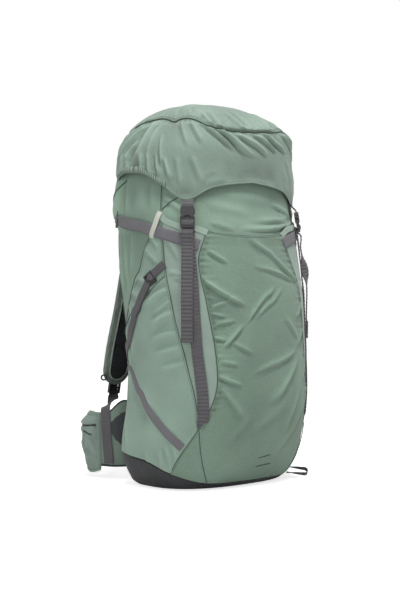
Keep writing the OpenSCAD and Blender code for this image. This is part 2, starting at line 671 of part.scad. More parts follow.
// Its webbing twists over the belt's yoke and is sewn to the yoke's outer face
foot_q = 0.1;
web_crest = 10;
module shoulder_webbing() {
    face = yoke_mid(foot_q) - yoke_out(foot_q) * (yoke_t / 2 + sew_gap);
    top = along(foot_q, yoke_top_at);
    start = adjuster_mid + pad_run(1) * (adjuster_h / 2 + 2.2);
    // Shares of the way across, with heights above the yoke's edge
    run = [for (q = [[0, start[2] - top], [0.04, start[2] - top - 8], [0.2, web_crest + 4],
        [0.45, web_crest + 1], [0.75, web_crest], [0.93, web_crest], [1, web_crest - 4], [1, -4]])
        [mix(start[0], face[0], q[0]), mix(start[1], face[1], q[0]), top + q[1]]];
    drop = [for (i = [1 : 5]) [face[0], face[1], mix(top - 4, wing_floor + 22, i / 5)]];
    path = concat(run, drop);
    last = len(path) - 1;
    // The webbing faces outwards as it hangs and upwards as it crosses
    out = [for (i = [0 : last]) let (
        way = unit(path[min(i + 1, last)] - path[max(i - 1, 0)]),
        level = unit(mix([0, -1, 0], -yoke_out(foot_q), min(1, i / 6))))
        unit(level * max(0, -way[2]) + [0, 0, norm([way[0], way[1]])])];
    color(web_grey) strap(path, out, web_w);
}
module shoulder_webbing_left() {
    shoulder_webbing();
}
module shoulder_webbing_right() {
    mirror([1, 0, 0]) shoulder_webbing();
}
// Load lifter: webbing from the pad over its top end to the back panel
module load_lifter() {
    low_t = 0.14;
    clear = pad_t / 2 + 0.6;
    anchor_z = pad_top_z + 26;
    path = [pad_mid(low_t) + pad_out(low_t) * clear, pad_mid(0.07) + pad_out(0.07) * clear,
        pad_mid(0) + [0, clear, 2], pad_mid(0) + [0, clear * 0.4, 14],
        [pad_mid(0)[0], along(anchor_z, back_at) + sew_gap, anchor_z]];
    color(web_grey) strap(path, facing(path, [-1, 0, 0]), thin_web_w);
}
module load_lifter_left() {
    load_lifter();
}
module load_lifter_right() {
    mirror([1, 0, 0]) load_lifter();
}

// Chest strap: a clip slides on each pad's inner edge and carries one half of the buckle
chest_t = 0.36;
clip_h = 24;
clip_w = 12;
clip_lip = 2.5;
clip_bite = 7;
clip_ease = 0.5;
function pad_edge(t) = pad_mid(t) + [along(t, pad_half_at), 0, 0];
clip_axis = unit(pad_edge(chest_t - 0.06) - pad_edge(chest_t + 0.06));
clip_grip = pad_thick(1 - clip_bite / pad_w, chest_t) + 2 * clip_ease;
module sternum_slider() {
    color(black) stand(pad_edge(chest_t), clip_axis) difference() {
        translate([-clip_bite, -clip_grip / 2 - clip_lip, -clip_h / 2])
            cube([clip_w, clip_grip + 2 * clip_lip, clip_h]);
        translate([-clip_bite - 1, -clip_grip / 2, -clip_h])
            cube([clip_bite + 1 + clip_ease, clip_grip, 2 * clip_h]);
    }
}
module sternum_slider_left() {
    sternum_slider();
}
module sternum_slider_right() {
    mirror([1, 0, 0]) sternum_slider();
}
chest_start = clip_w - clip_bite + sew_gap;
chest_gap = 3;
tongue = 12.5;
// Webbing that shows at each side when the two halves lie open, facing each other
chest_show = -pad_edge(chest_t)[0] - chest_start - (socket_len + chest_gap + tongue + plug_len) / 2;
// Turns a buckle half so that its strap comes from -X and it faces the wearer
module socket_from_left() {
    rotate([180, 0, 0]) rotate([0, -90, 0]) translate([0, buckle_t / 2, 0]) children();
}
module plug_from_left() {
    rotate([180, 0, 0]) rotate([0, 90, 0]) translate([0, buckle_t / 2, 0]) children();
}
module chest_web(length) {
    color(web_grey) stand(pad_edge(chest_t), clip_axis)
        translate([chest_start, -web_t / 2, -thin_web_w / 2]) cube([length, web_t, thin_web_w]);
}
module sternum_web_left() {
    chest_web(chest_show + socket_len - 15.4);
}
module sternum_web_right() {
    mirror([1, 0, 0]) chest_web(chest_show - sew_gap);
}
module sternum_socket() {
    stand(pad_edge(chest_t), clip_axis) translate([chest_start + chest_show + socket_len, 0, 0])
        socket_from_left() socket(thin_web_w);
}
module sternum_plug() {
    mirror([1, 0, 0]) stand(pad_edge(chest_t), clip_axis)
        translate([chest_start + chest_show + plug_len, 0, 0])
        plug_from_left() plug(thin_web_w);
}

// Belt wings: curved, crowned pads that fold on the thin ends of the yoke
wing_x_at = [[0, -hinge_x], [0.3, -hinge_x - 5], [0.6, -hinge_x + 6], [0.8, -hinge_x + 25],
    [1, -hinge_x + 52]];
wing_y_at = [[0, hinge_y], [0.3, hinge_y + 23], [0.6, hinge_y + 43], [0.8, hinge_y + 55],
    [1, hinge_y + 64]];
wing_top_at = [[0, wing_top], [0.6, wing_top], [0.88, wing_top - 8], [1, wing_top - 26]];
wing_low_at = [[0, wing_floor + 5], [0.25, wing_floor], [0.75, wing_floor + 2], [1, wing_floor + 24]];
wing_full_at = [[0, 0.14], [0.14, 0.6], [0.3, 1], [0.85, 1], [1, 0.6]];
function wing_mid(q) = [along(q, wing_x_at), along(q, wing_y_at), 0];
function wing_in(q) = unit(cross(wing_mid(min(q + 0.02, 1)) - wing_mid(max(q - 0.02, 0)), [0, 0, 1]));
function wing_thick(q, t) = wing_t * along(q, wing_full_at) * (0.4 + 0.6 * crown(t, 4));
function wing_z(q, t) = mix(along(q, wing_low_at), along(q, wing_top_at), t);
module belt_wing() {
    color(cloth_green)
        sheet_solid(function(s, t, d) wing_mid(s) + wing_in(s) * d * wing_thick(s, t)
            + [0, 0, wing_z(s, t)], 16, 8, -0.5, 0.5);
}
module belt_wing_left() {
    belt_wing();
}
module belt_wing_right() {
    mirror([1, 0, 0]) belt_wing();
}
module belt_pocket() {
    function bulge(s, t) = 0.8 + belt_pocket_t * crown(s, 4) * crown(t, 4);
    color(light_green)
        sheet_solid(function(s, t, d) let (q = mix(0.22, 0.9, s), h = mix(0.1, 0.92, t))
            wing_mid(q) - wing_in(q) * (wing_thick(q, h) / 2 + sew_gap + (1 - d) * bulge(s, t))
            + [0, 0, wing_z(q, h)], 12, 8, 0, 1);
}
module belt_pocket_left() {
    belt_pocket();
}
module belt_pocket_right() {
    mirror([1, 0, 0]) belt_pocket();
}
// Belt webbing runs from a wing's tip to the buckle behind the wearer's middle line
belt_z = wing_floor + 0.5 * wing_h + 4;
belt_buckle_y = hinge_y + 86;
belt_tip = wing_mid(1) + [0, 0, belt_z];
module belt_web(end_x) {
    run = unit(wing_mid(1) - wing_mid(0.96));
    start = belt_tip + run * 0.6;
    finish = [end_x, belt_buckle_y - web_t / 2, belt_z];
    path = [for (i = [0 : 8]) let (t = i / 8, r = 1 - t)
        start * r * r * r + (start + run * 24) * 3 * t * r * r
        + (finish - [24, 0, 0]) * 3 * t * t * r + finish * t * t * t];
    color(web_grey) strap(path, facing(path, [0, 0, 1]), belt_web_w);
}
module belt_web_left() {
    belt_web(-15.3);
}
module belt_web_right() {
    mirror([1, 0, 0]) belt_web(-plug_len - sew_gap);
}
module belt_socket() {
    translate([0, belt_buckle_y, belt_z]) socket_from_left() socket(belt_web_w);
}
module belt_plug() {
    translate([0, belt_buckle_y, belt_z]) socket_from_left() plug(belt_web_w);
}

base_panel();
front_panel();
rear_panel();
side_panel_left();
side_panel_right();
collar();
frame_sheet();
frame_stays();
back_pad();
lumbar_pad();
belt_yoke();
haul_loop();
front_pocket();
pocket_gussets();
side_pockets();
front_straps();
side_straps();
side_buckles();
keeper_loops();
pocket_straps();
pocket_adjusters();
pocket_trims();
tool_loop();
lid_hinge_tabs();
lid_shell();
lid_floor();
lid_tab_left();
lid_tab_right();
buckle_socket_left();
buckle_socket_right();
buckle_plug_left();
strap_tail_left();
buckle_plug_right();
strap_tail_right();
shoulder_pad_left();
shoulder_pad_right();
shoulder_adjuster_left();
shoulder_adjuster_right();
shoulder_webbing_left();
shoulder_webbing_right();
load_lifter_left();
load_lifter_right();
sternum_slider_left();
sternum_web_left();
sternum_socket();
sternum_slider_right();
sternum_web_right();
sternum_plug();
belt_wing_left();
belt_wing_right();
belt_pocket_left();
belt_pocket_right();
belt_web_left();
belt_web_right();
belt_socket();
belt_plug();
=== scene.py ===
import bpy
import numpy as np
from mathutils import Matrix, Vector


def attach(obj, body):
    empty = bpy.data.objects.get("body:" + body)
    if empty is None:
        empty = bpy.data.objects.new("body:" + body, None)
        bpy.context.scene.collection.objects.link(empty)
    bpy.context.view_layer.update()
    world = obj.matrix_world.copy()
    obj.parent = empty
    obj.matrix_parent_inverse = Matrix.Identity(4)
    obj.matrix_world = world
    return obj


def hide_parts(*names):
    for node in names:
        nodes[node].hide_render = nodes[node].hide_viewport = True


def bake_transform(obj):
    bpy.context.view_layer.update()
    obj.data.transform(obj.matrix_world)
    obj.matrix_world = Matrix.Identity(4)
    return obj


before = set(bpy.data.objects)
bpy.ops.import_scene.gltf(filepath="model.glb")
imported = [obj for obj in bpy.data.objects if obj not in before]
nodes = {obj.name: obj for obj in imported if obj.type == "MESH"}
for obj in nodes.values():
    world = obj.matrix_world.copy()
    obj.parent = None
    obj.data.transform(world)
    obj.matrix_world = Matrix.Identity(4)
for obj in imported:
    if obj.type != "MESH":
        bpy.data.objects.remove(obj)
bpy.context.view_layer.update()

# Base panel: a tray of coated dark nylon that takes the wear of the ground.
# It is cut in one piece, turned up round the foot of the bag and sewn under the panels;
# its edge stands higher at the back than at the front. Sizes here are in millimetres.
BAG_TOP = 580
WIDTH_AT = ((0, 150), (50, 168), (150, 160), (230, 160), (340, 166), (480, 166), (580, 150))
FRONT_AT = ((0, 104), (50, 134), (120, 162), (190, 170), (330, 155), (440, 127), (580, 98))
BACK_AT = ((0, 76), (50, 92), (223, 78), (330, 97), (440, 111), (580, 104))
BASE_EDGE_AT = ((0, 10), (30, 13), (66, 32), (90, 51), (120, 60), (180, 60))
BACK_ROUND = 3.4
FRONT_ROUND = 2.5
MM = 0.001


def along(x, stations):
    """Smooth curve through (place, value) stations, the one that the solids are drawn with."""
    place, value = np.array(stations, float).T
    last = len(place) - 1
    before = np.maximum(np.arange(last + 1) - 1, 0)
    after = np.minimum(np.arange(last + 1) + 1, last)
    slope = (value[after] - value[before]) / (place[after] - place[before])
    x = np.clip(x, place[0], place[-1])
    i = np.clip(np.searchsorted(place, x, side="right") - 1, 0, last - 1)
    h = place[i + 1] - place[i]
    t = (x - place[i]) / h
    return (value[i] * (2 * t**3 - 3 * t**2 + 1) + slope[i] * h * (t**3 - 2 * t**2 + t)
            + value[i + 1] * (3 * t**2 - 2 * t**3) + slope[i + 1] * h * (t**3 - t**2))


def mix(a, b, t):
    return a + (b - a) * t


def ease(x):
    """0 to 1 without a corner at either end."""
    x = np.clip(x, 0, 1)
    return x * x * (3 - 2 * x)


def signed_power(x, power):
    return np.sign(x) * np.abs(x)**power


def plan_point(u, wide, front, back):
    """Rounded plan shape of the pack at angle u, in degrees from +X through +Y."""
    c, s = np.cos(np.radians(u)), np.sin(np.radians(u))
    e = np.where(s < 0, 2 / FRONT_ROUND, 2 / BACK_ROUND)
    return wide * signed_power(c, e), np.where(s < 0, front, back) * signed_power(s, e)


def bag(u, z, d=0.0):
    """Point of the bag's cloth at angle u and height z, d outside the panels."""
    u, z, d = np.broadcast_arrays(np.asarray(u, float), np.asarray(z, float), np.asarray(d, float))
    x, y = plan_point(u, along(z, WIDTH_AT) + d, along(z, FRONT_AT) + d, along(z, BACK_AT) + d)
    return np.stack([x, y, z], -1)


def unit(v):
    return v / np.maximum(np.linalg.norm(v, axis=-1, keepdims=True), 1e-9)


def bag_out(u, z):
    """Directions out of the bag's cloth."""
    u, z = np.broadcast_arrays(np.asarray(u, float), np.asarray(z, float))
    return unit(np.cross(bag(u + 0.5, z) - bag(u - 0.5, z), bag(u, z + 3) - bag(u, z - 3)))


def from_front(u):
    """Angle away from the middle of the front, 0 to 180."""
    return np.degrees(np.arccos(np.clip(-np.sin(np.radians(u)), -1, 1)))


def base_edge(u):
    """Height of the tray's upper edge."""
    return along(from_front(u), BASE_EDGE_AT)


def field(columns, rows):
    """Even shares to the right and upwards over a piece of cloth."""
    return np.meshgrid(np.linspace(0, 1, columns), np.linspace(0, 1, rows))


def ring_field(columns, rows):
    """Angles round a closed piece of cloth, and even shares upwards."""
    s, t = field(columns + 1, rows)
    return 360 * s[:, :-1], t[:, :-1]


def sew(name, grids, cloth, body, stands_for=(), thick=0.0, ring=False, caps=(), folds=None):
    """One piece from grids of points: rows run upwards, columns to the right seen from outside.
    It keeps real lengths in metres as its UV, and in the attribute fold a value for each point, mostly
    how far it stands on a fold, which the woven cloths turn into painted shade and painted highlight."""
    points, faces, lengths, heights = [], [], [], []
    for k, grid in enumerate(grids):
        rows, columns = grid.shape[:2]
        first = sum(len(p) for p in points)
        index = first + np.arange(rows * columns).reshape(rows, columns)
        closed, wrap = grid, index
        if ring:
            closed = np.concatenate([grid, grid[:, :1]], 1)
            wrap = np.concatenate([index, index[:, :1]], 1)
        across = np.cumsum(np.linalg.norm(np.diff(closed, axis=1, prepend=closed[:, :1]), axis=2), 1)
        across = across - across[:, [across.shape[1] // 2]]
        rise = np.cumsum(np.linalg.norm(np.diff(closed, axis=0, prepend=closed[:1]), axis=2), 0)
        laid = np.stack([across, rise], -1) * MM
        corners = [(slice(0, -1), slice(0, -1)), (slice(0, -1), slice(1, None)),
                   (slice(1, None), slice(1, None)), (slice(1, None), slice(0, -1))]
        faces += np.stack([wrap[c] for c in corners], -1).reshape(-1, 4).tolist()
        lengths.append(np.stack([laid[c] for c in corners], 2).reshape(-1, 2))
        for end in caps:
            order = 1 if end else -1
            faces.append(index[end][::order].tolist())
            lengths.append(laid[end, :columns][::order])
        points.append(grid.reshape(-1, 3))
        heights.append(np.zeros(rows * columns) if folds is None else folds[k].ravel())
    mesh = bpy.data.meshes.new(name)
    mesh.from_pydata((np.concatenate(points) * MM).tolist(), [], faces)
    mesh.uv_layers.new(name="laid").data.foreach_set("uv", np.concatenate(lengths).ravel())
    mesh.attributes.new("fold", "FLOAT", "POINT").data.foreach_set("value", np.concatenate(heights))
    mesh.polygons.foreach_set("use_smooth", [True] * len(mesh.polygons))
    mesh.materials.append(cloth)
    piece = bpy.data.objects.new(name, mesh)
    bpy.context.scene.collection.objects.link(piece)
    if thick:
        doubled = piece.modifiers.new("cloth thickness", "SOLIDIFY")
        doubled.thickness = thick * MM
        doubled.offset = -1
    if stands_for:
        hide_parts(*stands_for)
    if body:
        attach(piece, body)
    return piece


def linear(code):
    """A '#rrggbb' sRGB colour as linear RGBA."""
    s = [int(code[i:i + 2], 16) / 255 for i in (1, 3, 5)]
    return [c / 12.92 if c <= 0.04045 else ((c + 0.055) / 1.055)**2.4 for c in s] + [1.0]


def add(tree, kind, **settings):
    """Adds a node. A setting is a link from another socket, an input's value or a property;
    an input is named in lower case with _ for a space, or in_0, in_1 by its place."""
    made = tree.nodes.new(kind)
    inputs = {s.name.lower().replace(" ", "_"): s for s in reversed(made.inputs)}
    inputs.update({f"in_{i}": s for i, s in enumerate(made.inputs)})
    for key, value in settings.items():
        if isinstance(value, bpy.types.NodeSocket):
            tree.links.new(value, inputs[key])
        elif key in inputs:
            inputs[key].default_value = value
        else:
            setattr(made, key, value)
    return made


def blank(name, slot):
    """A new material for a slot, with its node tree and its surface node."""
    made = bpy.data.materials.new(name)
    made.use_nodes = True
    made["slot"] = slot
    return made, made.node_tree, made.node_tree.nodes["Principled BSDF"]


def woven(name, slot, shade, thread=1.6, dark=0.5, light=1.4, speckle=0.7, bump=0.35,
          roughness=0.72, sheen=0.2):
    """Woven nylon: threads over and under each other, flecked where the yarn takes dye unevenly,
    with painted shade in the folds and a painted highlight on their crests. The weave is drawn wider
    than the real 0.4 mm threads, because they are too fine to show."""
    cloth, tree, skin = blank(name, slot)
    laid = add(tree, "ShaderNodeTexCoord").outputs["UV"]
    # A band repeats every 2 pi / 20 of the scaled length
    scale = 0.314159 / (thread * MM)
    warp = add(tree, "ShaderNodeTexWave", bands_direction="X", vector=laid, scale=scale)
    weft = add(tree, "ShaderNodeTexWave", bands_direction="Y", vector=laid, scale=scale)
    crossing = add(tree, "ShaderNodeMath", operation="SUBTRACT", in_0=warp.outputs["Fac"],
                   in_1=weft.outputs["Fac"])
    weave = add(tree, "ShaderNodeMath", operation="ABSOLUTE", in_0=crossing.outputs[0])
    fleck = add(tree, "ShaderNodeTexNoise", vector=laid, scale=420.0, detail=3.0, roughness=0.7)
    cloud = add(tree, "ShaderNodeTexNoise", vector=laid, scale=14.0, detail=2.0, roughness=0.5)
    # Painted shade and painted highlight: the fold attribute darkens the cloth in the hollows of its folds
    # and lightens it on their crests
    fold = add(tree, "ShaderNodeAttribute", attribute_name="fold")
    tone = add(tree, "ShaderNodeMath", operation="MULTIPLY_ADD", in_0=fold.outputs["Fac"],
               in_1=0.08, in_2=0.5)
    for part, share in ((fleck, speckle), (cloud, 0.4)):
        swing = add(tree, "ShaderNodeMath", operation="MULTIPLY_ADD", in_0=part.outputs["Fac"],
                    in_1=share, in_2=-share / 2)
        tone = add(tree, "ShaderNodeMath", operation="ADD", in_0=tone.outputs[0],
                   in_1=swing.outputs[0])
    ramp = add(tree, "ShaderNodeValToRGB", fac=tone.outputs[0])
    base = linear(shade)
    ramp.color_ramp.elements[0].color = [c * dark for c in base[:3]] + [1]
    ramp.color_ramp.elements[1].color = [min(1, c * light) for c in base[:3]] + [1]
    ramp.color_ramp.elements.new(0.5).color = base
    tree.links.new(ramp.outputs["Color"], skin.inputs["Base Color"])
    crumple = add(tree, "ShaderNodeTexNoise", vector=laid, scale=48.0, detail=3.0, distortion=1.0)
    relief = add(tree, "ShaderNodeMath", operation="MULTIPLY_ADD", in_0=fleck.outputs["Fac"],
                 in_1=0.6, in_2=weave.outputs[0])
    relief = add(tree, "ShaderNodeMath", operation="MULTIPLY_ADD", in_0=crumple.outputs["Fac"],
                 in_1=7.0, in_2=relief.outputs[0])
    raised = add(tree, "ShaderNodeBump", height=relief.outputs[0], strength=bump,
                 distance=0.4 * MM)
    tree.links.new(raised.outputs["Normal"], skin.inputs["Normal"])
    skin.inputs["Roughness"].default_value = roughness
    skin.inputs["Specular IOR Level"].default_value = 0.3
    skin.inputs["Sheen Weight"].default_value = sheen
    skin.inputs["Sheen Roughness"].default_value = 0.55
    return cloth


# Coated pack cloth: nearly black, a little glossier than the green cloth, with a coarse weave
coated_nylon = woven("coated_nylon", "cloth_dark", "#2e2f31", thread=2.2, bump=0.5,
                     roughness=0.55, sheen=0.1)

# This share of the rows runs out over the ground, the rest up the wall
GROUND_ROWS = 0.45
HEEL_ROUND = 9.0
around, up = ring_field(143, 26)
ground = np.clip(up / GROUND_ROWS, 0, 1)
wall = np.clip((up - GROUND_ROWS) / (1 - GROUND_ROWS), 0, 1)
tray = bag(around, mix(0.0, base_edge(around), wall), -0.4)
heel = 5.0 * (1 - ease(wall * base_edge(around) / HEEL_ROUND)) * ground
edge_in = bag_out(around, 4.0 + 0 * around) * np.array([1, 1, 0])
sag = 1.6 * np.sin(np.radians(around * 7)) * np.sin(np.pi * wall) * ease(wall * 3)
tray = tray - edge_in * (heel - sag)[..., None]
tray[..., :2] *= np.where(ground < 1, mix(0.04, 1, ground), 1)[..., None]
tray[..., 2] = np.where(ground < 1, 0.0, tray[..., 2])
sew("base_tray", [tray], coated_nylon, "pack", ["base_panel"], 2.0, ring=True, caps=(0,), folds=[sag])

# Bag panels: front, two sides and a darker back of lined nylon, sewn edge to edge into a tube.
# The load rounds them out, and the cloth creases where the lid's straps and the pockets pull.
FRONT_SEAM = 222
REAR_SEAM = 146
# Arc of one degree round the bag, and the sum of an angle and its mirror image about the front
DEGREE = 2.75
MIRROR_U = 540
PANEL_THICK = 2.2
OTHER_SIDE = np.array([-1, 1, 1])


def mirrored(grid):
    return grid[:, ::-1] * OTHER_SIDE


def crease(x, y, start, end, wide, high, bow=0.0):
    """Height of one fold from start to end: a ridge with a valley beside it, lost at its ends."""
    run = np.array(end, float) - start
    length = np.hypot(*run)
    a = ((x - start[0]) * run[0] + (y - start[1]) * run[1]) / length**2
    b = ((y - start[1]) * run[0] - (x - start[0]) * run[1]) / length + bow * np.sin(np.pi * np.clip(a, 0, 1))
    fade = ease((a + 0.12) / 0.4) * ease((1.12 - a) / 0.4)
    return high * fade * (np.exp(-np.abs(b / wide)**1.5) - 0.7 * np.exp(-((b + 1.5 * wide) / wide)**2))


def creases(u, y, folds, scale=DEGREE, both=False):
    """Sum of folds given by angle and height, (u0, y0, u1, y1, wide, high[, bow])."""
    height = np.zeros(np.broadcast(u, y).shape)
    for u0, y0, u1, y1, wide, high, *bow in folds:
        sides = ((u0, u1), (MIRROR_U - u0, MIRROR_U - u1)) if both else ((u0, u1),)
        for a, b in sides:
            height = height + crease(u * scale, y, (a * scale, y0), (b * scale, y1), wide, high, *bow)
    return height


def lumps(u, y, seed, size, high):
    """Soft unevenness of a stuffed cloth: a few waves across each other."""
    waves = np.random.default_rng(seed)
    height = 0.0
    for _ in range(7):
        turn, phase = waves.uniform(0, np.pi), waves.uniform(0, 6.28)
        long = size * waves.uniform(0.7, 1.6)
        height = height + np.sin((np.cos(turn) * u * DEGREE + np.sin(turn) * y) * 6.28 / long + phase)
    return high * height / 3


UPPER_FOLDS = (
    (264, 458, 302, 473, 4, 5.0, 4), (270, 473, 304, 481, 4, 4.2), (284, 506, 308, 487, 4, 4.8),
    (240, 468, 258, 456, 4, 2.6), (238, 502, 268, 488, 8, 1.6), (296, 461, 311, 477, 3.5, 4.2),
    (250, 522, 284, 511, 9, 1.4), (203, 514, 219, 486, 5, 2.6), (206, 532, 222, 500, 5, 2.0),
    (288, 490, 309, 482, 3, 3.4),
    (319, 500, 318, 424, 10, 5.5))
SIDE_FOLDS = (
    (156, 462, 160, 330, 5, 4.2), (166, 455, 170, 350, 5, 3.4), (176, 448, 175, 380, 4, 3.0),
    (150, 420, 156, 300, 5, 2.6), (152, 572, 149, 466, 17, 15.0), (166, 552, 172, 484, 6, 2.8),
    (180, 545, 182, 488, 8, 2.4), (190, 540, 192, 492, 7, 1.8))


def bag_fold(u, z):
    """Height of the panels' folds."""
    upper = ease((z - 440) / 20)
    high = creases(u, z, UPPER_FOLDS) * upper + creases(u, z, SIDE_FOLDS, both=True)
    return np.clip(high + lumps(u, z, 3, 95, 1.0), -2, 16)


# Upper pack cloth: mid green, close weave, soft sheen
green_nylon = woven("green_nylon", "cloth_green", "#7f9786", thread=1.8)
# Back and lining cloth: dark and dull, with a coarser weave
lining_nylon = woven("back_nylon", "cloth_dark", "#3a3d40", thread=2.2, bump=0.4, roughness=0.65)


def tucked(u, z):
    """How far a panel lies back under the pockets that cover it."""
    middle = 436 + 26 * np.clip(from_front(u) / 48, 0, 1)**2
    return 3.0 * ease((middle - z) / 14) * ease((from_front(u) - 124) / -10)


def on_cloth(u, z, high):
    """Points of the bag, raised square to its cloth."""
    return bag(u, z) + bag_out(u, z) * high[..., None]


def panel(u0, u1, columns, rows):
    """Grid of a panel between two seams, and the height of its folds."""
    s, t = field(columns, rows)
    u = mix(u0, u1, s)
    z = mix(base_edge(u) + 0.5, BAG_TOP, t)
    high = bag_fold(u, z)
    seams = ease(np.minimum(s, 1 - s) * abs(u1 - u0) * DEGREE / 7)
    d = high * np.maximum(seams, 0.7 * ease((z - 470) / 30)) - tucked(u, z) - 0.9 * (1 - seams)
    return on_cloth(u, z, d), high


grid, high = panel(FRONT_SEAM, MIRROR_U - FRONT_SEAM, 96, 150)
bag_front = sew("bag_front", [grid], green_nylon, "pack", ["front_panel"], PANEL_THICK, folds=[high])
grid, high = panel(180 - REAR_SEAM, REAR_SEAM, 60, 60)
sew("bag_back", [grid], lining_nylon, "pack", ["rear_panel"], PANEL_THICK, folds=[high])
grid, high = panel(REAR_SEAM, FRONT_SEAM, 72, 150)
sew("bag_side_left", [grid], green_nylon, "pack", ["side_panel_left"], PANEL_THICK, folds=[high])
sew("bag_side_right", [mirrored(grid)], green_nylon, "pack", ["side_panel_right"], PANEL_THICK,
    folds=[high[:, ::-1]])

# Seams: the turned edges of two panels, felled and sewn through, show as a fine dark cord
# with a row of thread beside it.
def carried(path, out, profile, spacing, smooth=True):
    """Rows of a profile's (right, outwards) points carried along a path, evenly spaced."""
    path, out = np.asarray(path, float), np.asarray(out, float)
    gone = np.concatenate([[0], np.cumsum(np.linalg.norm(np.diff(path, axis=0), axis=1))])
    count = max(2, int(round(gone[-1] / spacing)) + 1)
    at = np.linspace(0, gone[-1], count)
    lay = along if smooth else (lambda x, keys: np.interp(x, *np.array(keys).T))
    path = np.stack([lay(at, np.stack([gone, path[:, k]], 1)) for k in range(3)], 1)
    out = unit(np.stack([np.interp(at, gone, out[:, k]) for k in range(3)], 1))
    way = unit(np.gradient(path, axis=0))
    right = unit(np.cross(way, out))
    face = np.cross(right, way)
    profile = profile(at) if callable(profile) else np.broadcast_to(profile, (count, *np.shape(profile)))
    return path[:, None] + right[:, None] * profile[..., :1] + face[:, None] * profile[..., 1:]


def on_bag(stations, lift=0.0, count=40, relief=None):
    """Path on the bag through (angle, height) stations, and the directions out of the bag.
    relief adds the height of the cloth's folds there; the path bridges the narrow ones."""
    q = np.linspace(0, 1, len(stations))
    at = np.linspace(0, 1, count)
    u = along(at, np.stack([q, [a for a, _ in stations]], 1))
    z = along(at, np.stack([q, [h for _, h in stations]], 1))
    lift = np.broadcast_to(lift(at) if callable(lift) else lift, at.shape)
    if relief:
        high = np.pad(relief(u, z), 4, mode="edge")
        high = np.max([high[k:k + count + 4] for k in range(5)], 0)
        lift = lift + np.mean([high[k:k + count] for k in range(5)], 0)
    return on_cloth(u, z, lift), bag_out(u, z)


def round_profile(radius, sides=8):
    """A cord's profile, in the order that turns its faces outwards."""
    a = np.linspace(0, -2 * np.pi, sides, endpoint=False)
    return np.stack([radius * np.cos(a), radius * np.sin(a)], 1)


def both_sides(grids):
    return list(grids) + [mirrored(g) for g in grids]


def cords(name, runs, radius, cloth, body, spacing=4, closed=False, pair=False):
    """Round cord along each run, a path with its outward directions, and if it is one of a pair,
    along its mirror image."""
    grids = [carried(path, out, round_profile(radius), spacing) for path, out in runs]
    ends = () if closed else (0, -1)
    return sew(name, both_sides(grids) if pair else grids, cloth, body, ring=True, caps=ends)


def stitch_run(path, out, pitch=4.2, long=2.8, wide=0.8):
    """Separate stitches along a path, each a little block of thread with eight corners."""
    rows = carried(path, out, np.array([[0.0, 0.0]]), pitch)[:, 0]
    faces = carried(path, out, np.array([[0.0, 1.0]]), pitch)[:, 0] - rows
    way = unit(np.gradient(rows, axis=0))
    right = np.cross(way, faces)
    made = []
    for p, o, w, r in zip(rows, faces, way, right):
        ends = [p + w * k * long / 2 for k in (-1, -0.5, 0.5, 1)]
        tall = (0.05, 0.45, 0.45, 0.05)
        profile = ((1, 0), (0.6, -0.4), (-0.6, -0.4), (-1, 0), (-0.5, 1), (0.5, 1))
        made.append(np.array([[e + r * x * wide / 2 + o * max(y * h, -0.3) for x, y in profile]
                              for e, h in zip(ends, tall)]))
    return made


def stitches(name, runs, body, pair=False):
    """Rows of thread along each run, as one piece."""
    blocks = [block for path, out in runs for block in stitch_run(path, out)]
    return sew(name, both_sides(blocks) if pair else blocks, thread, body, ring=True, caps=(0, -1))


# Seam cord in a deeper green, and the bonded polyester thread that every seam is sewn with
seam_cord = woven("seam_cord", "cloth_green", "#47574d", thread=1.2, roughness=0.8, sheen=0.1)
thread = woven("polyester_thread", "cloth_green", "#5f7467", thread=0.8, roughness=0.6, sheen=0.1)
CORNER_SEAM = ((200, 560), (199.5, 537), (200, 512), (200.5, 489))
TAB_SEAM = ((201.5, 490), (208, 501), (216, 511), (221, 518))
REAR_JOIN = ((146, 62), (146, 200), (146, 330), (146, 460))
SHOULDER_SEAM = ((164, 547), (156, 532), (150, 514), (148.5, 497), (148, 478))
seams = [on_bag(run, 0.2, relief=bag_fold) for run in (CORNER_SEAM, TAB_SEAM, SHOULDER_SEAM)]
seams.append(on_bag(REAR_JOIN, -0.3))
cords("panel_seams", seams, 0.9, seam_cord, "pack", pair=True)
row = on_bag([(u + 1.6, z) for u, z in CORNER_SEAM], 0.4, relief=bag_fold)
stitches("panel_stitches", [row], "pack", pair=True)

# Collar: a light sleeve sewn inside the top edge, gathered to a narrower hem that
# closes the load in under the lid.
COLLAR_SEAT = 566
COLLAR_HEM = 604
COLLAR_IN = 3.2
COLLAR_DRAWN = 46
HEM_RADIUS = 3.2
UP = np.array([0, 0, 1])
# Collar cloth: thin and pale, with a fine weave
light_nylon = woven("light_nylon", "cloth_light", "#8ca395", thread=1.5, bump=0.3)
u, up = ring_field(192, 26)
drawn = np.clip((up - 0.35) / 0.65, 0, 1)**2 * COLLAR_DRAWN
pleat = (2.4 * np.sin(np.radians(u * 34)) + 1.2 * np.sin(np.radians(u * 13 + 40))) * ease(up * 1.2)
hem = bag(u, BAG_TOP, -COLLAR_IN - drawn + pleat)
hem[..., 2] = mix(COLLAR_SEAT, COLLAR_HEM, up)
collar_cloth = sew("collar_cloth", [hem], light_nylon, "pack", ["collar"], 0.8, ring=True, folds=[pleat])
hem_line = bag(u[-1], BAG_TOP, pleat[-1] * 0.6 - COLLAR_IN - COLLAR_DRAWN)
hem_line[:, 2] = COLLAR_HEM - 3
ring_out = unit(hem_line * np.array([1, 1, 0]))
a = np.linspace(0, 2 * np.pi, 9)[:-1]
tunnel = (hem_line[None] + ring_out[None] * HEM_RADIUS * np.cos(a)[:, None, None]
          + UP * HEM_RADIUS * np.sin(a)[:, None, None])
collar_hem = sew("collar_hem", [np.concatenate([tunnel, tunnel[:1]])], light_nylon, "pack", ring=True)


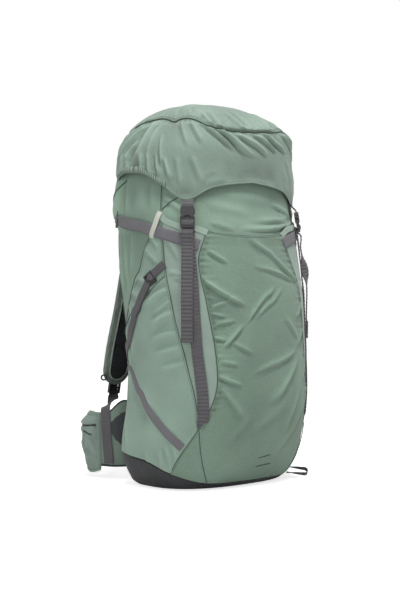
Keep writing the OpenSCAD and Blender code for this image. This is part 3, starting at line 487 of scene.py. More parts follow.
# Side yokes and side pockets: light stretch nylon. The yoke runs up to the keeper loop, and the
# pocket is a second layer over its foot, open along a slanting top edge.
YOKE_EDGE_AT = ((262, 150), (285, 160), (307, 168.5), (345, 176), (379, 180), (420, 184.5), (441, 189.5),
                (487, 200.5))
SIDE_EDGE_AT = ((10, 238), (100, 224), (266, 208), (378, 202), (480, 201.5))
FRONT_EDGE_AT = ((10, 204), (60, 213), (110, 222.5), (180, 232), (250, 232), (322, 229.5), (400, 228),
                 (450, 237))
# The right edge of the front pocket is drawn further in; its angles are given for the left side
RIGHT_EDGE_AT = ((10, 204.5), (60, 213.5), (110, 223), (180, 232.5), (259, 237), (331, 238), (363, 240),
                 (389, 243.5), (413, 247), (450, 251))
POCKET_TOP_AT = ((152, 268), (172, 300), (190, 352), (204, 380))
POCKET_REAR = 152
OVER_PANEL = 0.9
POCKET_FACE = 2.4
POCKET_THICK = 1.3
YOKE_FOLDS = ((186, 420, 196, 396, 5, 2.4), (180, 372, 190, 350, 5, 2.6), (176, 350, 184, 330, 5, 2.4),
              (190, 446, 197, 424, 5, 2.2), (172, 322, 178, 300, 5, 2.0))
# Stretch pocket cloth: paler, with a fine dotted face
stretch_nylon = woven("stretch_nylon", "cloth_light", "#889f91", thread=1.4, bump=0.28, speckle=0.6)

s, t = field(40, 120)
z = mix(YOKE_EDGE_AT[0][0], 486, t)
u = mix(along(z, YOKE_EDGE_AT), along(z, SIDE_EDGE_AT) + 0.4, s)
high = creases(u, z, YOKE_FOLDS) + lumps(u, z, 14, 60, 0.4)
rim = ease(np.minimum(s * 40, 1))
grid = on_cloth(u, z, 0.5 + 1.1 * rim + np.clip(high, -0.8, 3) * rim)
sew("side_yokes", both_sides([grid]), stretch_nylon, "pack", thick=1.4, folds=[high, high[:, ::-1]])

POCKET_FOLDS = (
    (203, 352, 184, 322, 5, 3.6, 5), (206, 312, 188, 288, 6, 3.2, 4), (208, 276, 186, 260, 6, 2.8, 4),
    (209, 252, 190, 238, 5, 2.4), (212, 226, 194, 212, 5, 2.2), (176, 300, 172, 240, 7, 2.6),
    (164, 270, 168, 160, 8, 2.4), (180, 180, 190, 110, 9, 2.0), (162, 120, 172, 66, 7, 2.2),
    (204, 334, 190, 308, 5, 2.4), (200, 80, 208, 44, 4, 1.8), (206, 84, 215, 40, 4, 1.8),
    (196, 70, 200, 42, 4, 1.6), (186, 66, 188, 44, 4, 1.4))


def pocket_front(z):
    """Angle at which a side pocket ends towards the front."""
    return np.minimum(along(z, SIDE_EDGE_AT), along(z, FRONT_EDGE_AT))


def side_fold(u, z):
    """Height of a side pocket's folds, lost at its sewn edges and above its mouth."""
    edge = ease(np.minimum(u - POCKET_REAR, pocket_front(z) - u) * DEGREE / 8)
    edge = edge * ease((along(u, POCKET_TOP_AT) + 6 - z) / 6)
    return np.clip(creases(u, z, POCKET_FOLDS) + lumps(u, z, 11, 70, 0.6), -1.3, 4) * edge


s, t = field(110, 190)
top = along(mix(POCKET_REAR, 202, s), POCKET_TOP_AT)
z = mix(base_edge(mix(POCKET_REAR, 205, s)) + OVER_PANEL, top, t)
u = mix(POCKET_REAR, pocket_front(z) - 0.3, s)
z = np.maximum(z, base_edge(u) + OVER_PANEL)
high = side_fold(u, z)
# The tucked rear edge meets the back seam
rear = (1 - ease(s * 52 * DEGREE / 8)) * 1.2
gape = 1.6 * ease((t - 0.95) / 0.05) * np.sin(np.pi * s)
grid = on_cloth(u, z, POCKET_FACE + high + gape - rear)
sew("side_pockets_cloth", both_sides([grid]), stretch_nylon, "pack", ["side_pockets"], POCKET_THICK,
    folds=[high, high[:, ::-1]])

# Gussets: a strip of the same stretch cloth at each side of the front pocket, with a pale
# folded elastic along its top edge.
GUSSET_FOLDS = ((204, 382, 216, 376, 4, 2.4), (206, 372, 220, 368, 4, 2.0), (206, 440, 214, 400, 6, 1.6),
                (214, 366, 222, 340, 5, 1.6), (212, 430, 224, 440, 4, 1.4))


def gusset_fold(u, z):
    """Height of a gusset's folds."""
    return np.clip(creases(u, z, GUSSET_FOLDS) + lumps(u, z, 5, 60, 0.4), -1.2, 2)


def gusset(edge_at, low_top):
    """Grid of a gusset out to the front pocket's edge, and the height of its folds."""
    s, t = field(40, 160)
    z = mix(120, mix(474, low_top, s), t)
    u = mix(along(z, SIDE_EDGE_AT) + 0.3, along(z, edge_at) - 0.5, s)
    high = gusset_fold(u, z)
    return on_cloth(u, z, POCKET_FACE + high), high


gusset_grid, gusset_high = gusset(FRONT_EDGE_AT, 452)
right_gusset, right_high = gusset(RIGHT_EDGE_AT, 446)
# Gusset cloth: as the pockets', a shade paler
gusset_nylon = woven("gusset_nylon", "cloth_light", "#8b9d92", thread=1.3, bump=0.25, speckle=0.6)
sew("gussets", [gusset_grid, mirrored(right_gusset)], gusset_nylon, "pack", ["pocket_gussets"],
    POCKET_THICK, folds=[gusset_high, right_high[:, ::-1]])


WEB_CORNERS = 13


def straps(name, runs, cloth, body, stands_for=(), width=20.0, thick=1.5, pitch=3.0, rib=0.25, tone=0.8,
           lift=0.0, pair=True, smooth=True, narrow=1.0, slant=0.0):
    """Flat webbing along each run, a path with its outward directions, and along its mirror image
    for the pack's other side. Ribs cross the weave, with a painted highlight on their crowns and
    painted shade between them, as strong as tone; narrow is the share of the width that it starts
    with, and slant how much longer one edge is there."""
    half, soft = width / 2, min(0.6, thick * 0.4)
    # Thirteen corners: across the back, then over the ribbed face
    x = np.array([1, 1, 0, -1, -1, -1, -1, -0.6, -0.2, 0.2, 0.6, 1, 1]) * half
    x = x - np.sign(x) * soft * np.array([0, 1, 0, 1, 0, 0, 1, 0, 0, 0, 0, 1, 0])
    y = np.array([0.3, 0, 0, 0, 0.3, 0.7, 1, 1, 1, 1, 1, 1, 0.7]) * thick + lift
    face = np.arange(WEB_CORNERS) > 5

    def ridge(gone):
        return np.abs(np.sin(np.pi * gone / pitch))**0.7

    def profile(gone):
        wide = mix(narrow, 1, ease(gone / gone[-1] * 1.6))[:, None]
        cut = width * np.clip(1 - gone / slant, 0, 0.96)[:, None] if slant else 0
        return np.stack([np.minimum(x * wide, half - cut), y + rib * ridge(gone)[:, None] * face], -1)

    grids, shades = [], []
    for path, out in runs:
        grid = carried(path, out, profile, pitch / 8, smooth)
        length = np.linalg.norm(np.diff(grid[:, 2], axis=0), axis=1).sum()
        # Painted highlight on the ribs' crowns and painted shade between them, carried in the fold attribute
        painted_rib_light = (ridge(np.linspace(0, length, len(grid)))[:, None] - 0.6) * 5 * tone * np.ones(WEB_CORNERS)
        grids.append(grid)
        shades.append(painted_rib_light)
    if pair:
        grids, shades = both_sides(grids), shades + shades
    return sew(name, grids, cloth, body, stands_for, ring=True, caps=(0, -1), folds=shades)


# Folded elastic: the palest cloth on the pack, with a soft rib
pale_elastic = woven("pale_elastic", "cloth_light", "#95a89b", thread=1.6, bump=0.5, speckle=0.5)
GUSSET_TOP = ((201, 478), (204.5, 470), (211, 463.5), (219, 459), (229, 456), (237, 449))
RIGHT_TOP = ((201, 478), (208, 473), (219, 468), (232, 464), (244, 458), (251.5, 447))


def right_run(run):
    """The same run on the pack's other side."""
    return run[0] * OTHER_SIDE, run[1] * OTHER_SIDE


runs = [on_bag(GUSSET_TOP, POCKET_FACE - 0.3), right_run(on_bag(RIGHT_TOP, POCKET_FACE - 0.3))]
straps("gusset_bands", runs, pale_elastic, "pack", width=11, thick=1.4, rib=0.15, tone=0.2, pair=False)

# Front pocket: a tall panel of heavier woven nylon from the base to a curved open mouth,
# sewn down at both sides with two rows of thread.
FRONT_FOLDS = (
    (227, 372, 255, 325, 5, 5.6, 3), (248, 335, 232, 319, 3.4, 3.2), (235, 419, 248, 397, 4, 3.4),
    (267, 439, 277, 412, 4.5, 4.0, 3), (275, 415, 298, 363, 4, 4.8, 4), (256, 294, 274, 355, 3.2, 3.2),
    (262, 300, 279, 352, 3.2, 2.4), (267, 391, 295, 363, 4, 3.4), (238, 251, 252, 287, 3.4, 4.0),
    (234, 201, 249, 186, 3.4, 3.6), (235, 182, 253, 128, 5, 3.0), (259, 206, 287, 242, 5, 3.2),
    (268, 153, 288, 225, 5, 3.4), (280, 105, 291, 173, 4, 3.0), (278, 65, 303, 155, 6, 3.0),
    (233, 290, 247, 297, 3.4, 2.6), (234, 229, 247, 221, 3.4, 2.4), (291, 298, 305, 332, 4, 3.2),
    (289, 248, 306, 292, 5, 3.2), (261, 108, 277, 152, 7, 2.0), (245, 88, 257, 132, 7, 1.6),
    (243, 262, 258, 240, 4, 2.4), (280, 300, 292, 260, 5, 2.2), (300, 120, 308, 190, 4, 2.6),
    (294, 180, 306, 236, 4, 2.8), (229, 352, 240, 340, 3, 2.8), (229, 312, 241, 304, 3, 2.6),
    (230, 270, 240, 263, 3, 2.6))
# Heavier pack cloth: a coarse weave, well flecked
heavy_nylon = woven("heavy_nylon", "cloth_green", "#738a79", thread=2.0, bump=0.55, speckle=1.1)
MOUTH_AT = ((226, 456), (237, 449.5), (250, 445), (266, 443), (276, 445), (289, 450), (300, 457))


def front_fold(u, z):
    """Height of the front pocket's folds, lost at its sewn edges, where the thread puckers it."""
    right_edge = MIRROR_U - along(z, RIGHT_EDGE_AT)
    from_edge = np.minimum(u - along(z, FRONT_EDGE_AT), right_edge - u) * DEGREE
    pucker = 1.1 * np.sin(z * 6.28 / 10.5 + 1.3 * np.sin(z / 23)) + 0.7 * np.sin(z * 6.28 / 17 + 2)
    pucker = pucker * np.exp(-np.abs(from_edge) / 12) * ease((z - 110) / 40)
    high = creases(u, z, FRONT_FOLDS) + lumps(u, z, 21, 110, 1.0) + pucker
    return np.clip(high, -1.3, 7) * ease(from_edge / 5)


s, t = field(230, 300)
low = base_edge(mix(208, 332, s)) + OVER_PANEL
top = along(mix(237, 289, s), MOUTH_AT)
z = mix(low, top, t)
u = mix(along(z, FRONT_EDGE_AT), MIRROR_U - along(z, RIGHT_EDGE_AT), s)
high = front_fold(u, z)
gape = 2.4 * ease((t - 0.95) / 0.05) * np.sin(np.pi * s)**0.5
grid = on_cloth(u, z, POCKET_FACE + high + gape)
sew("front_pocket_cloth", [grid], heavy_nylon, "pack", ["front_pocket"], POCKET_THICK, folds=[high])
mouth = grid[-1, ::3]
mouth_out = unit(np.cross(np.gradient(grid, axis=1), np.gradient(grid, axis=0)))[-1, ::3]
cords("mouth_hem", [(mouth - mouth_out * 0.4, mouth_out)], 1.3, heavy_nylon, "pack")
# Painted shade: a thin dark cord just above the hem darkens the opening of the pocket's mouth
cords("mouth_tape", [(mouth - mouth_out * 0.6 + UP * 1.5, mouth_out)], 0.8, seam_cord, "pack")

# Pocket seams: dark cords in the joins, with thread in rows on the pocket's side of them.
# Two bar tacks are sewn near the foot of the front pocket.
def join(edge_at, low, high, off, count):
    """Stations along an edge that is given by its angle at each height."""
    return [(along(h, edge_at) + off, h) for h in np.linspace(low, high, count)]


FRONT_JOIN = join(FRONT_EDGE_AT, 112, 452, -0.1, 18)
RIGHT_JOIN = join(RIGHT_EDGE_AT, 112, 448, -0.1, 18)
SIDE_JOIN = join(SIDE_EDGE_AT, 104, 478, 0.1, 18)
YOKE_JOIN = join(YOKE_EDGE_AT, 268, 487, -0.1, 16)
CORNER_JOIN = join(SIDE_EDGE_AT, 14, 104, 0.1, 8)
LOW_JOIN = join(FRONT_EDGE_AT, 38, 112, -0.2, 8)
POCKET_LIP = [(a, along(a, POCKET_TOP_AT)) for a in np.linspace(153, 201, 12)]
paired = [on_bag(SIDE_JOIN, 2.3, 80), on_bag(YOKE_JOIN, 0.9, 60), on_bag(LOW_JOIN, 2.2),
          on_bag(POCKET_LIP, 3.0), on_bag(CORNER_JOIN, 2.7, relief=front_fold)]
joins = paired + [right_run(run) for run in paired]
joins += [on_bag(FRONT_JOIN, 2.2, 80), right_run(on_bag(RIGHT_JOIN, 2.2, 80))]
cords("pocket_seams", joins, 0.8, seam_cord, "pack")


def beside(stations, off, lift, count=80):
    """A run of thread beside a join."""
    return on_bag([(a + off, h) for a, h in stations], lift, count)


paired = [beside(SIDE_JOIN, -1.4, 2.5), beside(YOKE_JOIN, 1.5, 1.7, 60), beside(LOW_JOIN, 1.3, 2.6, 40)]
rows = paired + [right_run(run) for run in paired]
DOUBLE_ROW = ((1.5, 3.0), (3.0, 3.1))
rows += [beside(FRONT_JOIN, *row) for row in DOUBLE_ROW]
rows += [right_run(beside(RIGHT_JOIN, *row)) for row in DOUBLE_ROW]
stitches("pocket_stitches", rows, "pack")
TACKS = (((269.5, 53), (272, 55.2), (274.5, 57)), ((269.5, 37), (273, 38.3), (277, 39)))
tacks = [on_bag(run, 3.0, 12, front_fold) for run in TACKS]
cords("pocket_tacks", tacks, 0.8, seam_cord, "pack", spacing=3)

# Front straps: polyester webbing, sewn in at the foot of the pocket and lying on the gusset up
# to each buckle. Its weave stands in ribs across the length.
# The ribs are drawn 6.5 mm apart, twice the real pitch, so that they show
RIB_PITCH = 6.5
# Webbing: dull grey with a warm cast; its ribs carry a painted highlight on their crowns and painted shade
# between them
webbing = woven("polyester_webbing", "webbing_grey", "#575558", thread=2.2, bump=0.7, speckle=0.5,
                roughness=0.8, sheen=0.15)
FRONT_STRAP = ((225, 112), (220.5, 213), (219.5, 259), (220.5, 330), (223.5, 466))
# It is tucked in at the foot and lies over the side strap near its upper end
STRAP_LIFT_AT = ((0, 0.2), (0.03, 2.9), (0.82, 2.9), (0.89, 4.6), (1, 4.6))


def under_strap(u, z):
    """Highest fold of the gusset under a strap's width."""
    return np.max([gusset_fold(u + off, z) for off in (-3, 0, 3)], 0)


run = on_bag(FRONT_STRAP, lambda q: along(q, STRAP_LIFT_AT), 80, under_strap)
straps("front_straps_cloth", [run], webbing, "pack", ["front_straps"], pitch=RIB_PITCH, slant=14, rib=0.9,
       tone=1.5)

# Side straps: lighter webbing across each side, sewn into the gusset seam and held by a ladder
# buckle at the back edge. A cream tape loop keeps the strap down.
# Lighter webbing, and undyed cotton tape
trim_webbing = woven("trim_webbing", "trim_grey", "#6b6a6e", thread=2.0, bump=0.6, speckle=0.5,
                     roughness=0.8, sheen=0.15)
cream_tape = woven("cotton_tape", "cord_cream", "#c6c8bc", thread=1.6, bump=0.5, speckle=0.4, roughness=0.85)
OVER_POCKET = 2.8
SIDE_STRAP = ((157, 476.5), (175, 467), (190, 456), (212, 441), (230, 427))
RIGHT_STRAP = ((157, 476.5), (175, 470), (190, 463), (212, 455), (232, 447), (243, 440), (250.5, 433))
runs = [on_bag(SIDE_STRAP, OVER_POCKET, 50), right_run(on_bag(RIGHT_STRAP, OVER_POCKET, 60))]
straps("side_straps_cloth", runs, trim_webbing, "pack", ["side_straps"], pair=False)
KEEPER = ((199.8, 486), (197.4, 470), (194, 452), (191.6, 440))
KEEPER_LIFT_AT = ((0, 1.2), (0.22, 4.9), (0.82, 4.9), (1, 1.2))
run = on_bag(KEEPER, lambda q: along(q, KEEPER_LIFT_AT))
straps("keeper_loops_cloth", [run], cream_tape, "pack", ["keeper_loops"], width=10, thick=1.2, tone=0.2)


def moulded(name, slot, shade, grain=0.12, rough=0.42, metal=0.0, ior=1.48):
    """Moulded plastic or drawn metal: smooth, with a fine grain that breaks up the highlight."""
    made, tree, skin = blank(name, slot)
    place = add(tree, "ShaderNodeTexCoord").outputs["Object"]
    speck = add(tree, "ShaderNodeTexNoise", vector=place, scale=900.0, detail=2.0)
    wear = add(tree, "ShaderNodeTexNoise", vector=place, scale=60.0, detail=3.0)
    gloss = add(tree, "ShaderNodeMath", operation="MULTIPLY_ADD", in_0=wear.outputs["Fac"], in_1=0.2,
                in_2=rough - 0.1)
    raised = add(tree, "ShaderNodeBump", height=speck.outputs["Fac"], strength=grain, distance=0.2 * MM)
    shades = add(tree, "ShaderNodeValToRGB", fac=wear.outputs["Fac"])
    base = linear(shade)
    shades.color_ramp.elements[0].color = [c * 0.8 for c in base[:3]] + [1]
    shades.color_ramp.elements[1].color = [min(1, c * 1.2) for c in base[:3]] + [1]
    tree.links.new(shades.outputs["Color"], skin.inputs["Base Color"])
    tree.links.new(gloss.outputs[0], skin.inputs["Roughness"])
    tree.links.new(raised.outputs["Normal"], skin.inputs["Normal"])
    skin.inputs["Metallic"].default_value = metal
    skin.inputs["IOR"].default_value = ior
    return made


def finished(name, surface, edge=0.5):
    """A solid that keeps its own form takes its material, with its edges rounded."""
    solid = nodes[name]
    solid.data.materials.clear()
    solid.data.materials.append(surface)
    rounded = solid.modifiers.new("moulded edges", "BEVEL")
    rounded.width = edge * MM
    rounded.segments = 3
    rounded.limit_method = "ANGLE"
    rounded.harden_normals = True
    return solid


# Acetal, the hard plastic of buckles: charcoal with a soft shine
acetal = moulded("acetal", "buckle_black", "#29282a", rough=0.5)
finished("side_buckles", acetal, 0.6)
finished("pocket_adjusters", acetal, 0.6)
# The strap is threaded round the bar of each ladder buckle
WRAP = ((157.5, 476.2), (154, 477.4), (150.5, 478.4), (147.5, 479))
WRAP_LIFT_AT = ((0, 3.0), (0.24, 6.4), (0.42, 6.6), (0.6, 6.4), (0.8, 3.0), (1, 2.4))
run = on_bag(WRAP, lambda q: along(q, WRAP_LIFT_AT), 30)
straps("side_buckle_wraps", [run], trim_webbing, "pack", width=14, thick=1.2)

# Pocket straps: webbing from a tab in the pocket seam through a ladder buckle and across the
# pocket to the rear seam. The free end lies on it as a second layer.
POCKET_STRAP = ((188.5, 366), (182.5, 339), (179.5, 311), (176, 283), (169, 257), (153, 231))
STRAP_END = ((187.5, 362.5), (182.5, 339), (180.5, 322), (179, 304))
STRAP_TAB = ((201.5, 395), (197.5, 388.5), (191.5, 377))
LYING_AT = ((0, 3.6), (0.1, 3.2), (0.85, 3.2), (1, 2.2))
END_LIFT_AT = ((0, 5.2), (0.5, 5.2), (0.85, 6.6), (1, 7.2))
TAB_LIFT_AT = ((0, 2.6), (0.5, 3.0), (1, 3.4))
runs = [on_bag(POCKET_STRAP, lambda q: along(q, LYING_AT), 70, side_fold),
        on_bag(STRAP_END, lambda q: along(q, END_LIFT_AT), 40, side_fold),
        on_bag(STRAP_TAB, lambda q: along(q, TAB_LIFT_AT), 20)]
straps("pocket_straps_cloth", runs, webbing, "pack", ["pocket_straps"], width=15, tone=0.9)
ROUND_BAR = ((191.4, 375.8), (190.4, 372.9), (189.4, 370.1), (188.4, 367.2))
BAR_LIFT_AT = ((0, 2.0), (0.3, 6.0), (0.5, 6.3), (0.7, 6.0), (1, 2.0))
run = on_bag(ROUND_BAR, lambda q: along(q, BAR_LIFT_AT), 30)
straps("pocket_adjuster_wraps", [run], webbing, "pack", width=13, thick=1.0)

# Pocket trims: a flat tape sewn slantwise down each side pocket to the corner of the base,
# cut narrower at its upper end.
TRIM = ((157, 221), (164, 213), (171, 204), (179, 173), (183.5, 145), (192.5, 119), (203, 97), (214, 78))
run = on_bag(TRIM, OVER_POCKET - 0.2, 80, side_fold)
straps("pocket_trims_cloth", [run], trim_webbing, "pack", ["pocket_trims"], width=15, thick=1.1, tone=0.7,
       narrow=0.55)

# Tool loop: webbing doubled on itself and sewn to the base's wall at the front right, where it
# hangs out a little twisted.
LOOP_U = 318
LOOP_Z = 13
LOOP_HALF = 6
LOOP_LONG = 34
LOOP_DROOP = np.radians(6)
LOOP_TWIST = np.radians(30)
out_of = np.array([np.cos(np.radians(LOOP_U)), np.sin(np.radians(LOOP_U)), 0])
along_wall = np.array([-out_of[1], out_of[0], 0])
turn = np.radians(np.linspace(-90, 90, 13))
gone = np.concatenate([[0, 18], LOOP_LONG + LOOP_HALF * np.cos(turn), [18, 0]])
rise = np.concatenate([[-LOOP_HALF] * 2, LOOP_HALF * np.sin(turn), [LOOP_HALF] * 2])
tilt = LOOP_TWIST * ease(gone / 30)
above = UP * np.cos(tilt)[:, None] + along_wall * np.sin(tilt)[:, None]
face = np.concatenate([[-90, -90], np.degrees(turn), [90, 90]])
line = bag(LOOP_U, LOOP_Z) + out_of * gone[:, None] + above * rise[:, None]
line[:, 2] -= gone * np.tan(LOOP_DROOP)
away = out_of * np.cos(np.radians(face))[:, None] + above * np.sin(np.radians(face))[:, None]
straps("tool_loop_cloth", [(line, away)], webbing, "pack", ["tool_loop"], width=14, lift=-1.5, tone=1.0,
       pair=False, smooth=False)

# Frame: a plastic sheet and two flat aluminium stays, slid in behind the back panel.
finished("frame_sheet", moulded("polyethylene", "sheet_plastic", "#2b2c2e", rough=0.5), 0.4)
finished("frame_stays", moulded("aluminium", "stay_metal", "#b9bcc0", rough=0.35, metal=1.0), 0.4)

# Back padding: foam under black spacer mesh, sewn to the back panel round its edge and moulded
# into level ridges that let air through.


def crown(s, sharp):
    return 1 - np.abs(2 * s - 1)**sharp


def spacer_mesh(name, slot, shade, cell=4.5):
    """Spacer mesh: open six-sided cells over dark foam, dull with a faint sheen on the yarn."""
    made, tree, skin = blank(name, slot)
    laid = add(tree, "ShaderNodeTexCoord").outputs["UV"]
    cells = add(tree, "ShaderNodeTexVoronoi", feature="F1", vector=laid, scale=1 / (cell * MM),
                randomness=0.25)
    depth = add(tree, "ShaderNodeMapRange", value=cells.outputs["Distance"], from_min=0.15, from_max=0.5)
    ramp = add(tree, "ShaderNodeValToRGB", fac=depth.outputs["Result"])
    base = linear(shade)
    ramp.color_ramp.elements[0].color = [c * 0.35 for c in base[:3]] + [1]
    ramp.color_ramp.elements[1].color = [c * 1.3 for c in base[:3]] + [1]
    raised = add(tree, "ShaderNodeBump", height=depth.outputs["Result"], strength=0.7, distance=0.8 * MM)
    tree.links.new(ramp.outputs["Color"], skin.inputs["Base Color"])
    tree.links.new(raised.outputs["Normal"], skin.inputs["Normal"])
    skin.inputs["Roughness"].default_value = 0.85
    skin.inputs["Specular IOR Level"].default_value = 0.25
    skin.inputs["Sheen Weight"].default_value = 0.1
    return made


def filled(grid, held, ring=False, coarse=3, pressure=4.0, frames=16, most=3.0):
    """The grid of a pad's cloth after it has settled under the pressure of its filling, held where
    it is sewn. A coarser copy is settled, and no point moves further than most."""
    rows, columns = grid.shape[:2]
    i = np.unique(np.append(np.arange(0, rows, coarse), rows - 1))
    j = np.arange(0, columns, coarse)
    if not ring:
        j = np.unique(np.append(j, columns - 1))
    before = grid[np.ix_(i, j)]
    trial = sew("filling_trial", [before], black_mesh, None, ring=ring, caps=(0, -1) if ring else ())
    sewn = trial.vertex_groups.new(name="sewn")
    for index, weight in enumerate(np.broadcast_to(held, grid.shape[:2])[np.ix_(i, j)].ravel()):
        sewn.add([index], float(np.clip(weight, 0, 1)), "REPLACE")
    filling = trial.modifiers.new("filling", "CLOTH")
    filling.settings.vertex_group_mass = "sewn"
    filling.settings.quality = 5
    filling.settings.mass = 0.3
    filling.settings.use_pressure = True
    filling.settings.uniform_pressure_force = pressure
    filling.settings.shrink_min = -0.015
    filling.settings.effector_weights.gravity = 0
    filling.settings.tension_stiffness = 20
    filling.settings.compression_stiffness = 20
    filling.settings.bending_stiffness = 0.6
    filling.settings.air_damping = 4
    filling.collision_settings.use_collision = False
    filling.collision_settings.use_self_collision = False
    filling.point_cache.frame_start = 1
    filling.point_cache.frame_end = frames
    for step in range(1, frames + 1):
        bpy.context.scene.frame_set(step)
    settled = trial.evaluated_get(bpy.context.evaluated_depsgraph_get()).data
    after = np.empty(before.size)
    settled.vertices.foreach_get("co", after)
    move = after.reshape(before.shape) / MM - before
    move = move / np.maximum(1, np.linalg.norm(move, axis=-1, keepdims=True) / most)
    mesh = trial.data
    bpy.data.objects.remove(trial)
    bpy.data.meshes.remove(mesh)
    bpy.context.scene.frame_set(1)
    if ring:
        move = np.concatenate([move, move[:, :1]], 1)
        j = np.append(j, columns)
    wide = np.array([[np.interp(np.arange(columns), j, row[:, k]) for k in range(3)] for row in move])
    fine = np.array([[np.interp(np.arange(rows), i, wide[:, k, c]) for c in range(columns)]
                     for k in range(3)])
    return grid + fine.transpose(2, 1, 0)


def two_faced(piece, cloth, second):
    """Gives the flagged faces of a piece's grid a second cloth."""
    piece.data.materials.append(cloth)
    flags = np.zeros(len(piece.data.polygons), dtype=np.int32)
    flags[:second.size] = second.ravel()
    piece.data.polygons.foreach_set("material_index", flags)


def rim_of(grid):
    """Closed path round the edge of a grid."""
    return np.concatenate([grid[0], grid[1:, -1], grid[-1, -2::-1], grid[-2::-1, 0]])


black_mesh = spacer_mesh("black_spacer_mesh", "mesh_black", "#26282b")
# Binding: narrow woven tape folded over a raw edge
binding_tape = woven("binding_tape", "cloth_dark", "#34363a", thread=1.4, bump=0.6, roughness=0.75, sheen=0.1)
s, t = field(70, 180)
u, z = mix(52.7, 127.3, s), mix(134, 452, t)
rib = 1 - 0.42 * np.abs(np.cos(np.pi * 7 * t))**6
high = 0.4 + 14 * np.minimum(1, crown(s, 6) * crown(t, 14) * 1.05) * rib
back_grid = bag(u, z, high)
edge = np.minimum(np.minimum(s, 1 - s) * 12, np.minimum(t, 1 - t) * 30)
back_grid = filled(back_grid, np.maximum(1 - ease(edge), (rib < 0.66) * 0.8), pressure=3, most=2)
back_padding = sew("back_padding", [back_grid], black_mesh, "pack", ["back_pad"], folds=[high - 9])
REARWARD = np.array([0.0, 1.0, 0.0])
rim = rim_of(back_grid)[::3]
cords("back_binding", [(rim, np.tile(REARWARD, (len(rim), 1)))], 2.2, binding_tape, "pack", 5, closed=True)

# Belt yoke: a stiffened green panel across the small of the back, bound round its edge.
# The wings fold on its thin ends.
YOKE_X_AT = ((0, -146), (0.16, -134), (0.3, -100), (0.5, 0), (0.7, 100), (0.84, 134), (1, 146))
YOKE_Y_AT = ((0, 137), (0.16, 110.8), (0.3, 96.8), (0.5, 96.8), (0.7, 96.8), (0.84, 110.8), (1, 137))
YOKE_TOP_AT = ((0, 122), (0.1, 123), (0.24, 144), (0.34, 124), (0.5, 120), (0.66, 124), (0.76, 144),
               (0.9, 123), (1, 122))
YOKE_THIN_AT = ((0, 0.3), (0.1, 1), (0.9, 1), (1, 0.3))
belt_nylon = woven("belt_nylon", "cloth_green", "#76897d", thread=1.8, bump=0.4)


def yoke_mid(q):
    return np.stack([along(q, YOKE_X_AT), along(q, YOKE_Y_AT), 0 * q], -1)


def yoke_out(q):
    """Towards the wearer."""
    run = yoke_mid(np.minimum(q + 0.01, 1)) - yoke_mid(np.maximum(q - 0.01, 0))
    return unit(np.cross([0, 0, 1], run))


q = np.linspace(1, 0, 200)
a = np.linspace(0, 2 * np.pi, 141)[:-1]
# Each column is a ring through one place along the yoke: the face towards the wearer, then the other
across = signed_power(np.sin(a), 0.5)
tall = 0.5 - 0.5 * signed_power(np.cos(a), 0.7)
low, top = 24.0, along(q, YOKE_TOP_AT)
deep = 3.4 * across[:, None] * along(q, YOKE_THIN_AT)[None]
yoke_grid = (yoke_mid(q)[None] + yoke_out(q)[None] * deep[..., None]
             + UP * (low + tall[:, None] * (top - low)[None])[..., None])
yoke_grid = np.concatenate([yoke_grid, yoke_grid[:1]])
belt_yoke = sew("belt_yoke_cloth", [yoke_grid], belt_nylon, "pack", ["belt_yoke"])
# The face towards the pack is dark between a green top band and a green lower corner at each end
high = low + tall[:, None] * (top - low)[:-1]
corner = np.interp(np.minimum(q, 1 - q)[:-1], (0.06, 0.22), (104, 62))
two_faced(belt_yoke, lining_nylon, (across[:, None] < -0.2) & (high < top[:-1] - 20) & (high > corner))
bound = [carried(yoke_mid(q) + UP * h[:, None], -yoke_out(q), round_profile(radius), 4)
         for h, radius in ((top, 2.2), (low + 0 * q, 2.6))]
sew("yoke_binding", bound, binding_tape, "pack", ring=True, caps=(0, -1))

# Lumbar cushion: a thick foam pad under black mesh, sewn to the yoke and crowned to the wearer.
s, t = field(80, 60)
inset = 9 * np.abs(2 * t - 1)**3
corner = np.minimum(1, (crown(s, 8) * crown(t, 8))**0.5)
channel = 1 - 0.3 * np.exp(-((s - 0.34) / 0.03)**2) - 0.3 * np.exp(-((s - 0.66) / 0.03)**2)
LUMBAR_HALF = 83
full = 18 * corner * channel * (0.45 + 0.55 * crown(s, 4) * crown(t, 4))
lumbar_grid = np.stack([mix(LUMBAR_HALF - inset, inset - LUMBAR_HALF, s), 100.6 + full, mix(32, 114, t)], -1)
edge = np.minimum(np.minimum(s, 1 - s), np.minimum(t, 1 - t)) * 14
lumbar_grid = filled(lumbar_grid, np.maximum(1 - ease(edge), (channel < 0.8) * 0.8), coarse=2, most=2.5)
lumbar_cushion = sew("lumbar_cushion", [lumbar_grid], black_mesh, "pack", ["lumbar_pad"])
rim = rim_of(lumbar_grid)[::2]
cords("lumbar_binding", [(rim, np.tile(REARWARD, (len(rim), 1)))], 2.2, binding_tape, "pack", closed=True)

# Haul loop: black webbing sewn into the top seam and arched out for a hand.
# Black webbing: as the grey, dyed darker
black_webbing = woven("black_webbing", "webbing_grey", "#3b3a3e", thread=2.2, bump=0.7, roughness=0.8,
                      sheen=0.12)
a = np.radians(np.linspace(0, 180, 37))
line = np.stack([40 * np.cos(a), 107.7 + 24 * np.sin(a)**0.6, np.full_like(a, 530)], 1)
away = unit(np.cross(np.gradient(line, axis=0), UP))
straps("haul_loop_cloth", [(line, away)], black_webbing, "pack", ["haul_loop"], pair=False)

# Lid hinge tabs: two lengths of webbing on the back panel, sewn under the lid's rear edge.
LID_DROP_AT = ((0, 38), (26, 50), (48, 72), (68, 46), (95, 20), (130, 38), (160, 29), (180, 28))


def lid_edge(u):
    """Height of the lid's hem."""
    return BAG_TOP - along(from_front(u), LID_DROP_AT)


